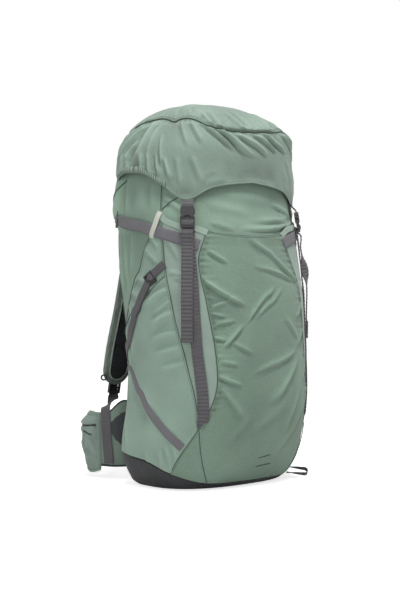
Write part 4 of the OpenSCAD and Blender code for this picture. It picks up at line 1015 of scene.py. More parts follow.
TAB_X = 72.0
tab_u = np.degrees(np.arccos((TAB_X / 171)**(BACK_ROUND / 2)))
rise = np.linspace(0, 1, 12)
z = mix(494, lid_edge(tab_u) + 3, rise)
y = mix(bag(tab_u, z)[:, 1] + 0.3, 111.2, rise**2)
line = np.stack([np.full_like(z, TAB_X), y, z], 1)
straps("hinge_tabs_cloth", [(line, np.tile(REARWARD, (12, 1)))], webbing, "pack", ["lid_hinge_tabs"])

# Lid: a stuffed top pocket of light nylon. Its skirt hangs over the collar, drawn in by elastic
# at the sides and pulled down at the two front straps, so folds run from the top seam to the tabs.
LID_WIDTH_AT = ((-80, 167), (-20, 170), (20, 164), (60, 142))
LID_FRONT_AT = ((-80, 118), (-20, 117), (20, 115), (60, 104))
LID_BACK_AT = ((-80, 114), (-28, 114), (20, 113), (60, 99))
LID_SEAM_AT = ((0, 60), (120, 48), (150, 46), (158, 50), (165, 57), (171, 65), (176, 71), (182, 75),
               (193, 72), (205, 66), (209, 70.5), (217, 72), (226, 69), (236, 61), (246, 55.5), (256, 52.5),
               (271, 52.5), (280, 55.5), (290, 57), (307, 63), (315, 61.5), (360, 60))
LID_DEGREE = 2.5
# Rise of the top seam and of the crown's middle, on the lid's own scale
LID_RISE = 60
LID_CROWN = 160
LID_FOLDS = (
    (233, 62, 260, 16, 3.5, 5.6, -3), (244, 60, 267, 9, 3.5, 6.4, -3), (250, 50, 270, 8, 3, 5.6, -2),
    (262, 46, 278, 12, 3, 5.6, -2), (270, 50, 288, 20, 3, 5.2), (279, 53, 298, 23, 3.5, 5.0),
    (298, 56, 318, 24, 4, 4.8), (312, 56, 330, 10, 5, 4.6), (222, 66, 236, 24, 4, 3.8),
    (212, 66, 224, 20, 4, 3.4), (231, 82, 243, 58, 3.5, 4.4), (239, 87, 251, 51, 3.5, 4.8),
    (260, 87, 270, 51, 3.5, 4.8), (269, 93, 272, 58, 3.5, 4.4), (288, 60, 298, 98, 4, 4.0),
    (304, 62, 318, 94, 4, 4.0),
    (222, 74, 212, 100, 5, 3.2), (204, 72, 196, 98, 5, 3.2), (185, 68, 160, -4, 4.5, 6.6, 4),
    (184, 62, 179, -6, 3.5, 6.8), (191, 58, 188, -4, 3.2, 6.4), (198, 40, 203, -14, 3.2, 5.2),
    (179, 34, 171, -8, 3.2, 5.6), (174, 72, 152, 10, 6, 5.6, 5), (171, 44, 158, -4, 3.5, 5.0),
    (175, 14, 174, -24, 3.4, 4.6), (182, 10, 183, -26, 3.4, 4.8), (189, 8, 191, -28, 3.4, 4.8),
    (197, 4, 200, -30, 3.4, 4.6), (205, -2, 210, -36, 3.4, 4.2), (167, 12, 166, -24, 3.4, 4.4),
    (228, 2, 236, -44, 5, 2.8), (216, 0, 219, -50, 5, 2.6), (300, 8, 306, -34, 5, 2.4))
# Lid cloth: paler than the bag and finely woven, with painted shade in its folds and painted highlight on
# their crests
lid_nylon = woven("lid_nylon", "cloth_light", "#819488", thread=1.7, bump=0.35, speckle=0.7)


def lid_stuffed(u, v):
    """The filling lies heavier at the front's right corner and pushes the shoulder out there."""
    return 11 * np.exp(-((u - 318) / 30)**2 - ((v - 58) / 27)**2)


def inward(v):
    """Share of the way from the top seam in to the crown's middle."""
    return np.clip((v - LID_RISE) / (LID_CROWN - LID_RISE), 0, 1)


def lid(u, v, d=0.0):
    """Point of the lid at angle u: v is the rise above the bag's edge up to the top seam, and from
    there on the way in to the crown."""
    u, v, d = np.broadcast_arrays(np.asarray(u, float), np.asarray(v, float), np.asarray(d, float))
    rise = np.minimum(v, LID_RISE)
    out = d + lid_stuffed(u, v)
    x, y = plan_point(u, *(along(rise, sizes) + out for sizes in (LID_WIDTH_AT, LID_FRONT_AT, LID_BACK_AT)))
    k = 1 - 0.93 * inward(v)
    return np.stack([x * k, y * k + 12 * (1 - k), BAG_TOP + rise + (48 + d) * (1 - k**2.8)], -1)


def lid_out(u, v):
    """Directions out of the lid's cloth."""
    return unit(np.cross(lid(u + 0.5, v) - lid(u - 0.5, v), lid(u, v + 0.8) - lid(u, v - 0.8)))


def lid_high(u, v):
    """Height of the lid's folds, with the seam drawn in and the cloth puckered beside it."""
    turned = np.where(u < 90, u + 360, u)
    near = np.abs(v - along(u, LID_SEAM_AT))
    spread = 1 - 0.75 * inward(v)
    folds = creases(turned, v, LID_FOLDS, LID_DEGREE)
    folds = folds + creases(MIRROR_U - turned, v, LID_FOLDS, LID_DEGREE) * ease((turned - 316) / 20)
    pucker = 1.8 * np.sin(np.radians(u) * 58 + 2 * np.sin(np.radians(u) * 5))
    pucker = pucker * (near / 6) * np.exp(-(near / 8)**2)
    sewn = np.exp(-(near / 3.2)**2)
    high = np.clip(folds * spread + pucker + lumps(turned, v, 8, 95, 1.5), -4, 8)
    return high * (1 - 0.8 * sewn) - 2.4 * sewn


# This share of the rows is the wall, the rest the crown
LID_WALL = 0.55
u, t = ring_field(440, 190)
v = np.where(t <= LID_WALL, mix(lid_edge(u) - BAG_TOP, LID_RISE, t / LID_WALL),
             mix(LID_RISE, LID_CROWN, (t - LID_WALL) / (1 - LID_WALL)))
seam_held = np.exp(-((v - along(u, LID_SEAM_AT)) / 4)**2)
held = np.maximum(seam_held, 1 - ease((v - lid_edge(u) + BAG_TOP) / 30))
lid_grid = filled(lid(u, v), held, ring=True, coarse=8, pressure=3.5, most=2)
# The seam keeps its place
lid_grid = mix(lid_grid, lid(u, v), np.exp(-((v - along(u, LID_SEAM_AT)) / 8)**2)[..., None])
high = lid_high(u, v)
raised = high * ease((v - (lid_edge(u) - BAG_TOP)) / 10) * ease((LID_CROWN - v) / 75)
lid_grid = lid_grid + lid_out(u, np.clip(v, -200, 158)) * raised[..., None]
lid_cloth = sew("lid_cloth", [lid_grid], lid_nylon, "lid", ["lid_shell"], 1.6, ring=True, caps=(-1,),
                folds=[high])

# Lid seam and hem: the zip's covered edge round the top panel, a bound hem, and a shirred
# elastic band at each side.
a = np.linspace(0, 360, 241)[:-1]
v = along(a, LID_SEAM_AT)


def lid_ring(v, lift):
    """Closed path round the lid at the rise v, and its outward directions."""
    out = lid_out(a, v)
    line = lid(a, v) + out * np.reshape(lift, (-1, 1))
    return np.concatenate([line, line[:1]]), np.concatenate([out, out[:1]])


# The seam stands out where the left side's folds pull at it
proud = 1.2 + 2.6 * ease((181 - a) / 10) * ease((a - 120) / 20)
cords("lid_seam", [lid_ring(v, lid_high(a, v) + proud)], 1.3, seam_cord, "lid", closed=True)
cords("lid_hem", [lid_ring(lid_edge(a) - BAG_TOP, -0.6)], 1.5, lid_nylon, "lid", closed=True)
stitches("lid_stitches", [lid_ring(v + off, lid_high(a, v + off) + 0.5) for off in (4.0, -4.5)], "lid")
s, t = field(200, 9)
u = mix(157, 206, s)
v = lid_edge(u) - BAG_TOP + 12 * t - 0.6
shirr = 2.2 * np.abs(np.sin(np.pi * s * 24))**0.7 * np.sin(np.pi * np.clip(t * 0.9 + 0.06, 0, 1))**0.6
band = lid(u, v) + lid_out(u, v) * (0.9 + shirr + 1.2 * np.sin(np.pi * t))[..., None]
# Painted shade and highlight: the band is painted dark between its gathers and along its edges, and pale on
# the gathers' crests
high = shirr * 7 - 10
sew("lid_elastic", both_sides([band]), lid_nylon, "lid", thick=0.8, folds=[high, high[:, ::-1]])

# Lid floor: a flat panel of dark cloth that closes the top pocket below.
FLOOR_RISE = 30
u, t = ring_field(96, 16)
t = 1 - t
x, y = plan_point(u, *(along(FLOOR_RISE, sizes) - 3.6 for sizes in (LID_WIDTH_AT, LID_FRONT_AT, LID_BACK_AT)))
k = mix(0.05, 1, t)
sag = 2.2 * (1 - t**2) + 0.8 * np.sin(np.radians(u * 5)) * t * (1 - t) * 3
floor_grid = np.stack([x * k, y * k, 611 - sag], -1)[::-1, ::-1]
sew("lid_lining", [floor_grid], lining_nylon, "lid", ["lid_floor"], 0.6, ring=True, caps=(0,))

# Front buckles: side-release buckles of black acetal. The sockets hang on webbing tabs under the
# lid's hem, and the plugs carry the bag's straps.
BUCKLE_LEAN = np.radians(8.549)
STRAP_WAY = np.array([-np.sqrt(0.5), -np.sqrt(0.5), 0])
STRAP_SIDE = np.array([np.sqrt(0.5), -np.sqrt(0.5), 0])
STRAP_U = 223.5
BUCKLE_Z = 474
# How far the buckle's back stands off the cloth
BUCKLE_OFF = 6.9
strap_foot = bag(STRAP_U, BUCKLE_Z)
for name in ("buckle_socket_left", "buckle_socket_right", "buckle_plug_left", "buckle_plug_right"):
    finished(name, acetal, 0.7)


def at_buckle(y, z):
    """Point y outside the buckle's back and z up along the strap."""
    out = (y + BUCKLE_OFF) * np.cos(BUCKLE_LEAN) - z * np.sin(BUCKLE_LEAN)
    up = (y + BUCKLE_OFF) * np.sin(BUCKLE_LEAN) + z * np.cos(BUCKLE_LEAN)
    return strap_foot + STRAP_WAY * out + UP * up


stop = (lid_edge(STRAP_U) - 0.3 - BUCKLE_Z) / np.cos(BUCKLE_LEAN) + 6
hem = lid(STRAP_U, lid_edge(STRAP_U) - BAG_TOP, -6.5) - strap_foot
lift = (hem @ STRAP_WAY + stop * np.sin(BUCKLE_LEAN)) / np.cos(BUCKLE_LEAN) - 7.9
line = np.array([at_buckle(mix(3.25, lift, max(0, i - 2) / 6), mix(15.4, stop, i / 8)) for i in range(9)])
for side, way in (("left", 1), ("right", OTHER_SIDE)):
    straps(f"lid_tab_{side}_cloth", [(line * way, np.tile(STRAP_WAY * way, (9, 1)))], webbing, "lid",
           [f"lid_tab_{side}"], pitch=RIB_PITCH, rib=0.7, tone=1.3, pair=False)

# Strap tails: each front strap goes round the plug's middle bar, and its free end leaves behind
# the lowest bar and hangs down the pocket. The last inch is turned over and sewn so that it can't
# slip out, and the right one hangs twisted.
ROUND_PLUG_BAR = ((2.5, -5.9), (6.9, -6.3), (7.4, -9.4), (6.9, -12.5), (2.5, -12.9))
bar = np.array([at_buckle(y, z) for y, z in ROUND_PLUG_BAR])
bar_out = unit(bar - at_buckle(2.0, -9.4))
for side, way in (("left", 1), ("right", OTHER_SIDE)):
    straps(f"strap_turn_{side}", [(bar * way, bar_out * way)], webbing, f"plug_{side}", thick=1.2,
           pair=False, smooth=False)


def beyond(way, z):
    """More than 0 where a point that far along the buckle's line is outside the bag."""
    x, y = np.abs(strap_foot[:2] + STRAP_WAY[:2] * way)
    return (x / along(z, WIDTH_AT))**FRONT_ROUND + (y / along(z, FRONT_AT))**FRONT_ROUND - 1


def reach(z):
    """Distance out along the buckle's line to the bag's cloth, at height z."""
    low, high = -60.0, 80.0
    for _ in range(26):
        middle = (low + high) / 2
        low, high = (low, middle) if beyond(middle, z) > 0 else (middle, high)
    return low


def tail(bow, twist):
    """Path of a tail, bowed out and twisted by so many degrees below the buckle."""
    line = [at_buckle(1.6, -12.9), at_buckle(0.3, -15.5), at_buckle(0.6, -19.5), at_buckle(5.5, -26)]
    for i in range(17):
        z = mix(430, 260, i / 16)
        p = strap_foot + STRAP_WAY * (reach(z) + 9.2 + bow * np.sin(np.pi * min(1, i / 12))**2)
        line.append(np.array([p[0], p[1], z]))
    line = np.array(line)
    run = unit(np.gradient(line, axis=0))
    out = unit(np.cross(run, STRAP_SIDE))
    out = np.where((out @ STRAP_WAY)[:, None] > 0, out, -out)
    turned = np.radians(twist) * ease((np.arange(21) - 5.2) / 2.6) * ease((10.8 - np.arange(21)) / 2.6)
    return line, out * np.cos(turned)[:, None] + np.cross(run, out) * np.sin(turned)[:, None]


for side, way, bow, twist in (("left", 1, 0.0, 0.0), ("right", OTHER_SIDE, 3.0, -46.0)):
    line, out = tail(bow, twist)
    strap_tail = straps(f"strap_tail_{side}_cloth", [(line * way, out * way)], webbing, f"plug_{side}",
                        [f"strap_tail_{side}"], pitch=RIB_PITCH, rib=0.9, tone=1.5, pair=False)
    last = ((line[-4:] + out[-4:] * 1.9) * way, out[-4:] * way)
    turned_end = straps(f"strap_end_{side}", [last], webbing, f"plug_{side}", width=19.6, pitch=RIB_PITCH,
                        rib=0.9, tone=1.5, pair=False)

# Shoulder pads: foam between a green outer cloth and black mesh, edged with light piping.
# They are sewn to the back panel at the top and hang free, with a ladder buckle at the lower end.
PAD_X_AT = ((0, -50), (0.12, -56), (0.33, -66), (0.6, -76), (0.8, -86), (1, -92))
PAD_Y_AT = ((0, 115.5), (0.12, 126), (0.33, 137), (0.6, 148), (0.8, 157), (1, 165))
# The foot is a half circle about the place PAD_ROUND
PAD_ROUND = 0.928
PAD_LONG = 336
PAD_HALF = 31
PAD_HALF_AT = ((0, 24), (0.1, 28), (0.55, 31), (0.86, 31), (0.928, 31), (0.955, 29.5), (0.98, 25.5),
               (1, 19.3), (1.012, 12), (1.018, 6))
PAD_THICK = 13
PAD_THIN_AT = ((0, 1), (0.88, 1), (1.018, 0.55))
MESH_SHARE = 0.685
MESH_HALF = PAD_HALF * MESH_SHARE
RIGHTWARD = np.array([1, 0, 0])
# Outer cloth of the pads, and the paler tape of the piping
pad_nylon = woven("pad_nylon", "cloth_dark", "#6f7a72", thread=1.8, bump=0.4)
piping_cloth = woven("piping_cloth", "cloth_light", "#97a398", thread=1.2, bump=0.4)


def pad_mid(t):
    return np.stack([along(t, PAD_X_AT), along(t, PAD_Y_AT), mix(512, 176, t)], -1)


def pad_run(t):
    return unit(pad_mid(np.minimum(t + 0.02, 1)) - pad_mid(np.maximum(t - 0.02, 0)))


def pad_out(t):
    """Away from the pack."""
    return unit(np.cross([1, 0, 0], pad_run(t)))


t = np.concatenate([np.linspace(1.018, 0.93, 40), np.linspace(0.927, 0, 110)])
a = np.linspace(0, 2 * np.pi, 81)[:-1]
half = along(t, PAD_HALF_AT)[:, None]
thick = PAD_THICK * along(t, PAD_THIN_AT)[:, None]
side = signed_power(np.cos(a), 0.4)
face = signed_power(np.sin(a), 0.55)
# Two sewn channels let the mesh side bend
dent = np.exp(-((t - 0.36) / 0.012)**2) + np.exp(-((t - 0.66) / 0.012)**2)
channel = 1 - 0.28 * dent[:, None] * (face < 0)
pad_grid = (pad_mid(t)[:, None] + RIGHTWARD * (half * side)[..., None]
            + pad_out(t)[:, None] * (0.5 * thick * face * channel)[..., None])
held = np.maximum((np.abs(face) < 0.6) * 1.0, (channel < 0.9) * 0.7) * np.ones((150, 1))
held[[0, 1, -2, -1]] = 1
pad_grid = filled(pad_grid, held, ring=True, coarse=2, most=2)
# The piping runs round the mesh, down one side, round the foot and up the other
bend = np.radians(np.linspace(0, 180, 17))[1:-1]
straight = np.linspace(0.03, PAD_ROUND, 40)
ring_t = np.concatenate([straight, PAD_ROUND + MESH_HALF / PAD_LONG * np.sin(bend), straight[::-1]])
ring_x = np.concatenate([along(straight, PAD_HALF_AT) * MESH_SHARE, MESH_HALF * np.cos(bend),
                         -along(straight[::-1], PAD_HALF_AT) * MESH_SHARE])
ring_deep = -0.5 * PAD_THICK * along(ring_t, PAD_THIN_AT) * 0.95
ring = pad_mid(ring_t) + RIGHTWARD * ring_x[:, None] + pad_out(ring_t) * ring_deep[:, None]
pipes = [carried(ring, -pad_out(ring_t), round_profile(1.5), 4)]
next_side, next_face = (side + np.roll(side, -1)) / 2, (face + np.roll(face, -1)) / 2
below = np.maximum(0, t[:-1, None] - PAD_ROUND) * PAD_LONG
reach_x = np.where(below > 0, np.sqrt(np.maximum(0, MESH_HALF**2 - below**2)), half[:-1] * MESH_SHARE)
inner = (next_face < 0) & (np.abs(half[:-1] * next_side) < reach_x) & (t[:-1, None] > 0.02)
# Thread holds the outer cloth to the foam beside each edge
sewn_t = np.linspace(0.05, PAD_ROUND, 50)
sewn_out = pad_out(sewn_t)
edges = [pad_mid(sewn_t) + RIGHTWARD * (k * along(sewn_t, PAD_HALF_AT))[:, None] + sewn_out * 5.9
         for k in (-0.82, 0.82)]
pad_thread = [g for e in edges for g in stitch_run(e, sewn_out)]
# A little ring of acetal rod hangs at the outer edge of the foot
turn = np.radians(np.linspace(0, 360, 37))[:, None]
spoke = np.array([0.743, -0.669, 0]) * np.cos(turn) + UP * np.sin(turn)
hoop = carried(np.array([-122.5, 161.0, 184.0]) + 4.6 * spoke, spoke, round_profile(1.5), 1)


def sided(grids, flip):
    """The grids of a piece for the left side, or for the right."""
    return [mirrored(g) for g in grids] if flip else grids


for name, flip in (("left", False), ("right", True)):
    pad = sew(f"shoulder_pad_{name}_cloth", sided([pad_grid], flip), pad_nylon, f"shoulder_{name}",
              [f"shoulder_pad_{name}"], ring=True, caps=(0, -1))
    two_faced(pad, black_mesh, np.roll(inner[:, ::-1], -1, 1) if flip else inner)
    sew(f"shoulder_piping_{name}", sided(pipes, flip), piping_cloth, f"shoulder_{name}", ring=True,
        caps=(0, -1))
    sew(f"shoulder_stitches_{name}", sided(pad_thread, flip), thread, f"shoulder_{name}", ring=True,
        caps=(0, -1))
    finished(f"shoulder_adjuster_{name}", acetal, 0.6)
    sew(f"shoulder_ring_{name}", sided([hoop], flip), acetal, f"shoulder_{name}", ring=True)

# Shoulder webbing: runs from each ladder buckle over the edge of the belt's yoke and is sewn to
# the yoke's outer face.
end = pad_mid(1.0)
way = pad_run(1.0)
FOOT_Q_AT = ((0, 0.068), (1, 0.108))
FOOT_END = 28
foot_q = np.array([0.1])


def web_foot(q):
    """Place on the yoke's outer face, a share q of the way down: the webbing slants across it."""
    place = np.array([along(q, FOOT_Q_AT)])
    return (yoke_mid(place) - yoke_out(place) * 3.8)[0]


foot = web_foot(0)
crest = along(0.1, YOKE_TOP_AT)
start = end + way * 25.7
line = [end + way * 6 + pad_out(1.0) * 3.4, end + way * 14 + pad_out(1.0) * 4.0, start]
for q, h in ((0.04, start[2] - crest - 8), (0.2, 14), (0.45, 11), (0.75, 10), (0.93, 10), (1, 6), (1, -4)):
    line.append(np.array([mix(start[0], foot[0], q), mix(start[1], foot[1], q), crest + h]))
for q in np.linspace(0.2, 1, 5):
    line.append(np.array([*web_foot(q)[:2], mix(crest - 4, FOOT_END, q)]))
line = np.array(line)
run = unit(np.gradient(line, axis=0))
share = np.minimum(1, np.maximum(0, np.arange(len(line)) - 2) / 6)[:, None]
level = unit(mix(-REARWARD, -yoke_out(foot_q), share))
out = unit(level * np.maximum(0.02, -run[:, 2:]) + UP * np.hypot(run[:, :1], run[:, 1:2]))
out[:2] = [0, -1, 0]
# It hangs slack, with part of a twist
slack = np.radians(50) * np.array([0, 0, 0.1, 0.5, 0.9, 1, 0.8, 0.4, 0.1] + [0] * (len(line) - 9))[:, None]
web_run = (line, out * np.cos(slack) + np.cross(run, out) * np.sin(slack))
# Load lifters: narrow webbing from the top of each pad to the back panel above it
LIFTER_Z = 538
line = np.array([pad_mid(0.14) + pad_out(0.14) * 7.4, pad_mid(0.07) + pad_out(0.07) * 7.6,
                 pad_mid(0.0) + [0, 7.2, 2], pad_mid(0.0) + [0, 2.9, 14],
                 [PAD_X_AT[0][1], along(LIFTER_Z, BACK_AT) + 0.4, LIFTER_Z]])
run = unit(np.gradient(line, axis=0))
lifter_run = (line, unit(np.cross([1, 0, 0], run) * -1))
for name, flip in (("left", 1), ("right", -1)):
    way = np.array([flip, 1, 1])
    web = straps(f"shoulder_webbing_{name}_cloth", [(web_run[0] * way, web_run[1] * way)], webbing, None,
                 [f"shoulder_webbing_{name}"], pair=False)
    # Its upper third, behind the ladder buckle, is black
    rows = len(web.data.vertices) // WEB_CORNERS - 1
    two_faced(web, black_webbing, np.repeat(np.arange(rows) < rows * 0.34, WEB_CORNERS))
    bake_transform(web)
    lifter = straps(f"load_lifter_{name}_cloth", [(lifter_run[0] * way, lifter_run[1] * way)], webbing, None,
                    [f"load_lifter_{name}"], width=15, pair=False)
    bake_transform(lifter)

# Chest strap: acetal clips slide on the pads' inner edges and carry a small buckle on webbing.
# The two lengths of webbing are sewn round the clips and the buckle.
for name in ("sternum_slider_left", "sternum_slider_right", "sternum_socket", "sternum_plug"):
    finished(name, acetal, 0.6)


def pad_edge(t):
    """Inner edge of a pad."""
    return pad_mid(t) + np.array([along(t, PAD_HALF_AT), 0, 0])


clip_up = unit(pad_edge(0.30) - pad_edge(0.42))
turn = np.arctan2(clip_up[0], clip_up[2])
clip_way = np.array([np.cos(turn), 0, -np.sin(turn)])
clip_out = np.cross(clip_up, clip_way)
for name, flip, long in (("left", 1, 8.9), ("right", -1, 5.0)):
    way = np.array([flip, 1, 1])
    gone = np.linspace(5.0, 5.3 + long, 6)[:, None]
    line = pad_edge(0.36) + clip_way * gone - clip_out * 0.75
    straps(f"chest_web_{name}_cloth", [(line * way, np.tile(clip_out * way, (6, 1)))], webbing,
           f"chest_{name}", [f"sternum_web_{name}"], width=15, pair=False)

# Hip belt: curved foam wings, green outside and mesh inside, that fold on the yoke's ends.
# Each carries a zipped pocket, and webbing from the tips meets in a buckle.
WING_X_AT = ((0, -146), (0.3, -151), (0.6, -140), (0.8, -121), (1, -94))
WING_Y_AT = ((0, 137.8), (0.3, 160.8), (0.6, 180.8), (0.8, 192.8), (1, 201.8))
WING_THICK = 14
BELT_BUCKLE_Y = 223.05
BELT_BUCKLE_Z = 69.0
WING_TOP_AT = ((0, 120), (0.6, 120), (0.88, 112), (1, 94))
WING_LOW_AT = ((0, 15), (0.25, 10), (0.75, 12), (1, 34))
WING_FULL_AT = ((0, 0.14), (0.14, 0.6), (0.3, 1), (0.85, 1), (1, 0.6))


def wing_mid(q):
    return np.stack([along(q, WING_X_AT), along(q, WING_Y_AT), 0 * q], -1)


def wing_in(q):
    """Towards the wearer."""
    return unit(np.cross(wing_mid(np.minimum(q + 0.02, 1)) - wing_mid(np.maximum(q - 0.02, 0)), UP))


def wing_z(q, t):
    """Height at a share t of the way up the wing."""
    return mix(along(q, WING_LOW_AT), along(q, WING_TOP_AT), t)


q = np.linspace(0, 1, 90)
a = np.linspace(0, 2 * np.pi, 49)[:-1]
across = signed_power(np.sin(a), 0.6)[:, None]
tall = (0.5 - 0.5 * signed_power(np.cos(a), 0.75))[:, None]
tip = np.sqrt(np.clip(1 - np.clip((q - 0.95) / 0.05, 0, 1)**2, 0, 1))
full = WING_THICK * along(q, WING_FULL_AT) * np.maximum(tip, 0.05)
wing_grid = (wing_mid(q)[None] + wing_in(q)[None] * (0.5 * full[None] * across)[..., None]
             + UP * wing_z(q[None], tall)[..., None])
wing_grid = np.concatenate([wing_grid, wing_grid[:1]])
wing_end = wing_mid(np.array(1.0))
wing_way = wing_end - wing_mid(np.array(0.96))
edges = [wing_mid(q) + UP * wing_z(q, k)[:, None] for k in (0.0, 1.0)]
pipes = [carried(e[3::3], -wing_in(q)[3::3], round_profile(1.8), 4) for e in edges]
end_edge = wing_end + UP * np.linspace(WING_LOW_AT[-1][1], WING_TOP_AT[-1][1], 12)[:, None]
pipes.append(carried(end_edge, np.tile(wing_way, (12, 1)), round_profile(1.8), 4))
inner = np.tile((np.sin(a) > 0)[:, None], (1, 89))
held = np.maximum(ease((0.16 - q) / 0.1), ease((q - 0.9) / 0.08))[None]
held = np.maximum((np.abs(across) < 0.45) * 1.0, held)
wing_grid = filled(wing_grid, np.concatenate([held, held[:1]]), coarse=2, most=2)

# The pocket on the wing: a puffed outer panel with a zip slantwise under a folded lip
POUCH_FRONT = 0.9
POUCH_REAR = 0.055
LIP_FRONT = 0.76
LIP_REAR = 0.82
s, t = field(90, 60)
share, rise = mix(POUCH_FRONT, POUCH_REAR, s), mix(0.06, 0.96, t)
lip = mix(LIP_FRONT, LIP_REAR, s)
sides = np.minimum(1, 6 * np.minimum(s, 1 - s))
bulge = 0.6 + mix(1.5, 8.5, ease((t - 0.1) / 0.75)) * np.minimum(1, 1.15 * crown(s, 5) * crown(t, 6))
groove = np.exp(-((t - lip) / 0.022)**2) * sides
rolled = np.exp(-((t - lip - 0.075) / 0.05)**2) * sides
BELT_FOLDS = (
    (12, 12, 34, 40, 5, 2.2), (60, 16, 44, 46, 5, 2.2), (20, 66, 50, 58, 4, 1.8), (74, 60, 62, 30, 5, 2.0),
    (80, 20, 72, 48, 4, 1.8), (40, 20, 52, 44, 4, 1.6))
crumple = creases(s * 90, t * 84, BELT_FOLDS, 1.0)
body = 0.5 * WING_THICK * along(share, WING_FULL_AT) * (np.clip(1 - np.abs(2 * rise - 1)**3, 0, 1)**0.6)
pocket_out = body - 0.4 + bulge - 3.0 * groove + 1.6 * rolled
pocket_out = pocket_out + np.clip(crumple, -1, 2.4) * crown(s, 4) * crown(t, 4)
pocket_grid = (wing_mid(share) - wing_in(share) * pocket_out[..., None]
               + UP * wing_z(share, rise)[..., None])
# Cloth of the belt's pockets: light and closely woven
belt_pocket_nylon = woven("belt_pocket_nylon", "cloth_light", "#82938a", thread=1.7, bump=0.35)
edge = np.minimum(np.minimum(s, 1 - s), np.minimum(t, 1 - t)) * 14
pocket_grid = filled(pocket_grid, np.maximum(1 - ease(edge), groove), coarse=2, most=2)


def on_pocket(s, t):
    """Nearest point of the pocket's cloth."""
    return pocket_grid[np.rint(t * 59).astype(int), np.rint(s * 89).astype(int)]


zip_s = np.linspace(0.06, 0.94, 50)
zip_out = -wing_in(mix(POUCH_FRONT, POUCH_REAR, zip_s))
zip_run = (on_pocket(zip_s, mix(LIP_FRONT, LIP_REAR, zip_s)) - zip_out * 0.3, zip_out)
pocket_rim = carried(rim_of(pocket_grid)[::2], rim_of(-wing_in(share))[::2], round_profile(1.4), 4)
# A bar tack below the lip, where the lip's lining is sewn down
tack_s = np.linspace(0.66, 0.86, 8)
tack_line = on_pocket(tack_s, mix(0.7, 0.64, np.linspace(0, 1, 8)))
tack = carried(tack_line, -wing_in(mix(POUCH_FRONT, POUCH_REAR, tack_s)), round_profile(1.5), 2)

# Belt webbing, from a wing's tip to the buckle
def belt_line(end_x):
    """A curve that leaves the wing along its tip and comes level to the buckle."""
    q = np.linspace(0, 1, 30)[:, None]
    r = 1 - q
    way = unit(wing_way)
    first = wing_end + UP * BELT_BUCKLE_Z - way * 4
    last = np.array([end_x, BELT_BUCKLE_Y, BELT_BUCKLE_Z])
    return (first * r**3 + (first + way * 26) * 3 * q * r**2 + (last - [24, 0, 0]) * 3 * q**2 * r
            + last * q**3)


for name, flip, stop_x in (("left", False, -15.3), ("right", True, -18.3)):
    way_over = OTHER_SIDE if flip else 1
    wing = sew(f"belt_wing_{name}_cloth", sided([wing_grid], flip), belt_nylon, f"belt_{name}",
               [f"belt_wing_{name}"])
    two_faced(wing, black_mesh, inner[:, ::-1] if flip else inner)
    sew(f"belt_piping_{name}", sided(pipes, flip), piping_cloth, f"belt_{name}", ring=True, caps=(0, -1))
    pouch = sew(f"belt_pocket_{name}_cloth", sided([pocket_grid], flip), belt_pocket_nylon, f"belt_{name}",
                [f"belt_pocket_{name}"], thick=1.2, folds=[crumple[:, ::-1] if flip else crumple])
    sew(f"belt_pocket_rim_{name}", sided([pocket_rim], flip), belt_pocket_nylon, f"belt_{name}", ring=True)
    sew(f"belt_tack_{name}", sided([tack], flip), binding_tape, f"belt_{name}", ring=True, caps=(0, -1))
    straps(f"belt_zip_{name}", [(zip_run[0] * way_over, zip_run[1] * way_over)], binding_tape,
           f"belt_{name}", width=5, thick=1.2, pitch=2.2, rib=0.5, pair=False)
    line = belt_line(stop_x)
    out = unit(np.cross(unit(np.gradient(line, axis=0)), UP) * -1)
    straps(f"belt_web_{name}_cloth", [(line * way_over, out * way_over)], black_webbing, f"belt_{name}",
           [f"belt_web_{name}"], width=25, pair=False)
finished("belt_socket", acetal, 0.7)
finished("belt_plug", acetal, 0.7)

# Camera: a long lens in front of the pack's left corner, a little above its middle.
look = bpy.data.cameras.new("camera")
look.lens = 74.3
look.sensor_width = 36
look.dof.use_dof = False
camera = bpy.data.objects.new("camera", look)
turn = np.radians(42)
camera.location = (-2.3 * np.sin(turn), -2.3 * np.cos(turn), 0.359)
aim = np.array([0.743, -0.669, 0]) * -0.0165 + np.array([0, 0, 0.331])
bpy.context.scene.collection.objects.link(camera)
bpy.context.scene.camera = camera


def point_at(thing, target):
    """Turns a camera or lamp to look at a point."""
    thing.rotation_euler = (Vector(target) - thing.location).to_track_quat("-Z", "Y").to_euler()


point_at(camera, aim)

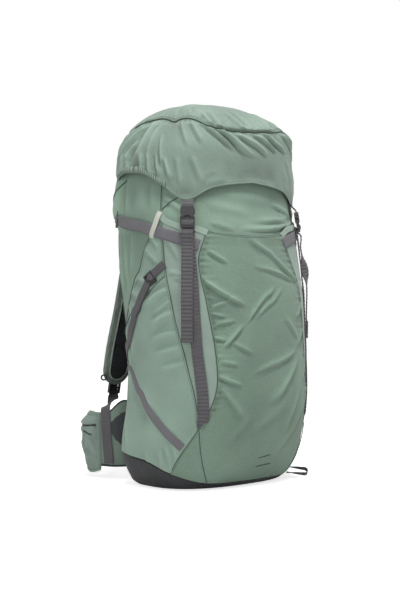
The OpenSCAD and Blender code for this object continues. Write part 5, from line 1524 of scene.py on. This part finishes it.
# Floor: a plain sheet of white paper, lit so that it reads as white and only the pack's shadow
# shows on it. The light that it adds is for the camera alone.
FLOOR_WHITE = 0.72
paper = bpy.data.materials.new("white_paper")
paper.use_nodes = True
tree = paper.node_tree
matt = tree.nodes["Principled BSDF"]
matt.inputs["Base Color"].default_value = linear("#f2f2f2")
matt.inputs["Roughness"].default_value = 0.9
seen = add(tree, "ShaderNodeLightPath").outputs["Is Camera Ray"]
share = add(tree, "ShaderNodeMath", operation="MULTIPLY", in_0=seen, in_1=FLOOR_WHITE)
white = add(tree, "ShaderNodeEmission", strength=share.outputs[0])
both = add(tree, "ShaderNodeAddShader", in_0=matt.outputs[0], in_1=white.outputs[0])
tree.links.new(both.outputs[0], tree.nodes["Material Output"].inputs["Surface"])
ground = bpy.data.meshes.new("floor")
ground.from_pydata([(-3, -3, -0.002), (3, -3, -0.002), (3, 3, -0.002), (-3, 3, -0.002)], [], [(0, 1, 2, 3)])
ground.materials.append(paper)
floor = bpy.data.objects.new("floor", ground)
bpy.context.scene.collection.objects.link(floor)

# Light: a white room, with a large soft lamp above the camera and a weaker one at each side.
ROOM_LIGHT = 0.19
room = bpy.data.worlds.new("room")
room.use_nodes = True
bpy.context.scene.world = room
tree = room.node_tree
paths = add(tree, "ShaderNodeLightPath")
shown = add(tree, "ShaderNodeMath", operation="MAXIMUM", in_0=paths.outputs["Is Camera Ray"],
            in_1=paths.outputs["Is Glossy Ray"])
shown = add(tree, "ShaderNodeMath", operation="MAXIMUM", in_0=shown.outputs[0],
            in_1=paths.outputs["Is Transmission Ray"])
level = add(tree, "ShaderNodeMapRange", value=shown.outputs[0], to_min=ROOM_LIGHT, to_max=1.0)
glow = tree.nodes["Background"]
glow.inputs["Color"].default_value = (1, 1, 1, 1)
tree.links.new(level.outputs["Result"], glow.inputs["Strength"])
LAMPS = (("key", (-0.35, -0.8, 3.0), 1.3, 78), ("left", (-2.4, -0.9, 1.2), 1.2, 16),
         ("right", (1.6, -2.2, 1.0), 1.4, 7))
for name, place, size, watts in LAMPS:
    lamp = bpy.data.lights.new(name, "AREA")
    lamp.size = size
    lamp.energy = watts
    stand = bpy.data.objects.new(name, lamp)
    stand.location = place
    bpy.context.scene.collection.objects.link(stand)
    point_at(stand, (0, 0, 0.33))
bpy.context.scene.view_settings.view_transform = "Standard"
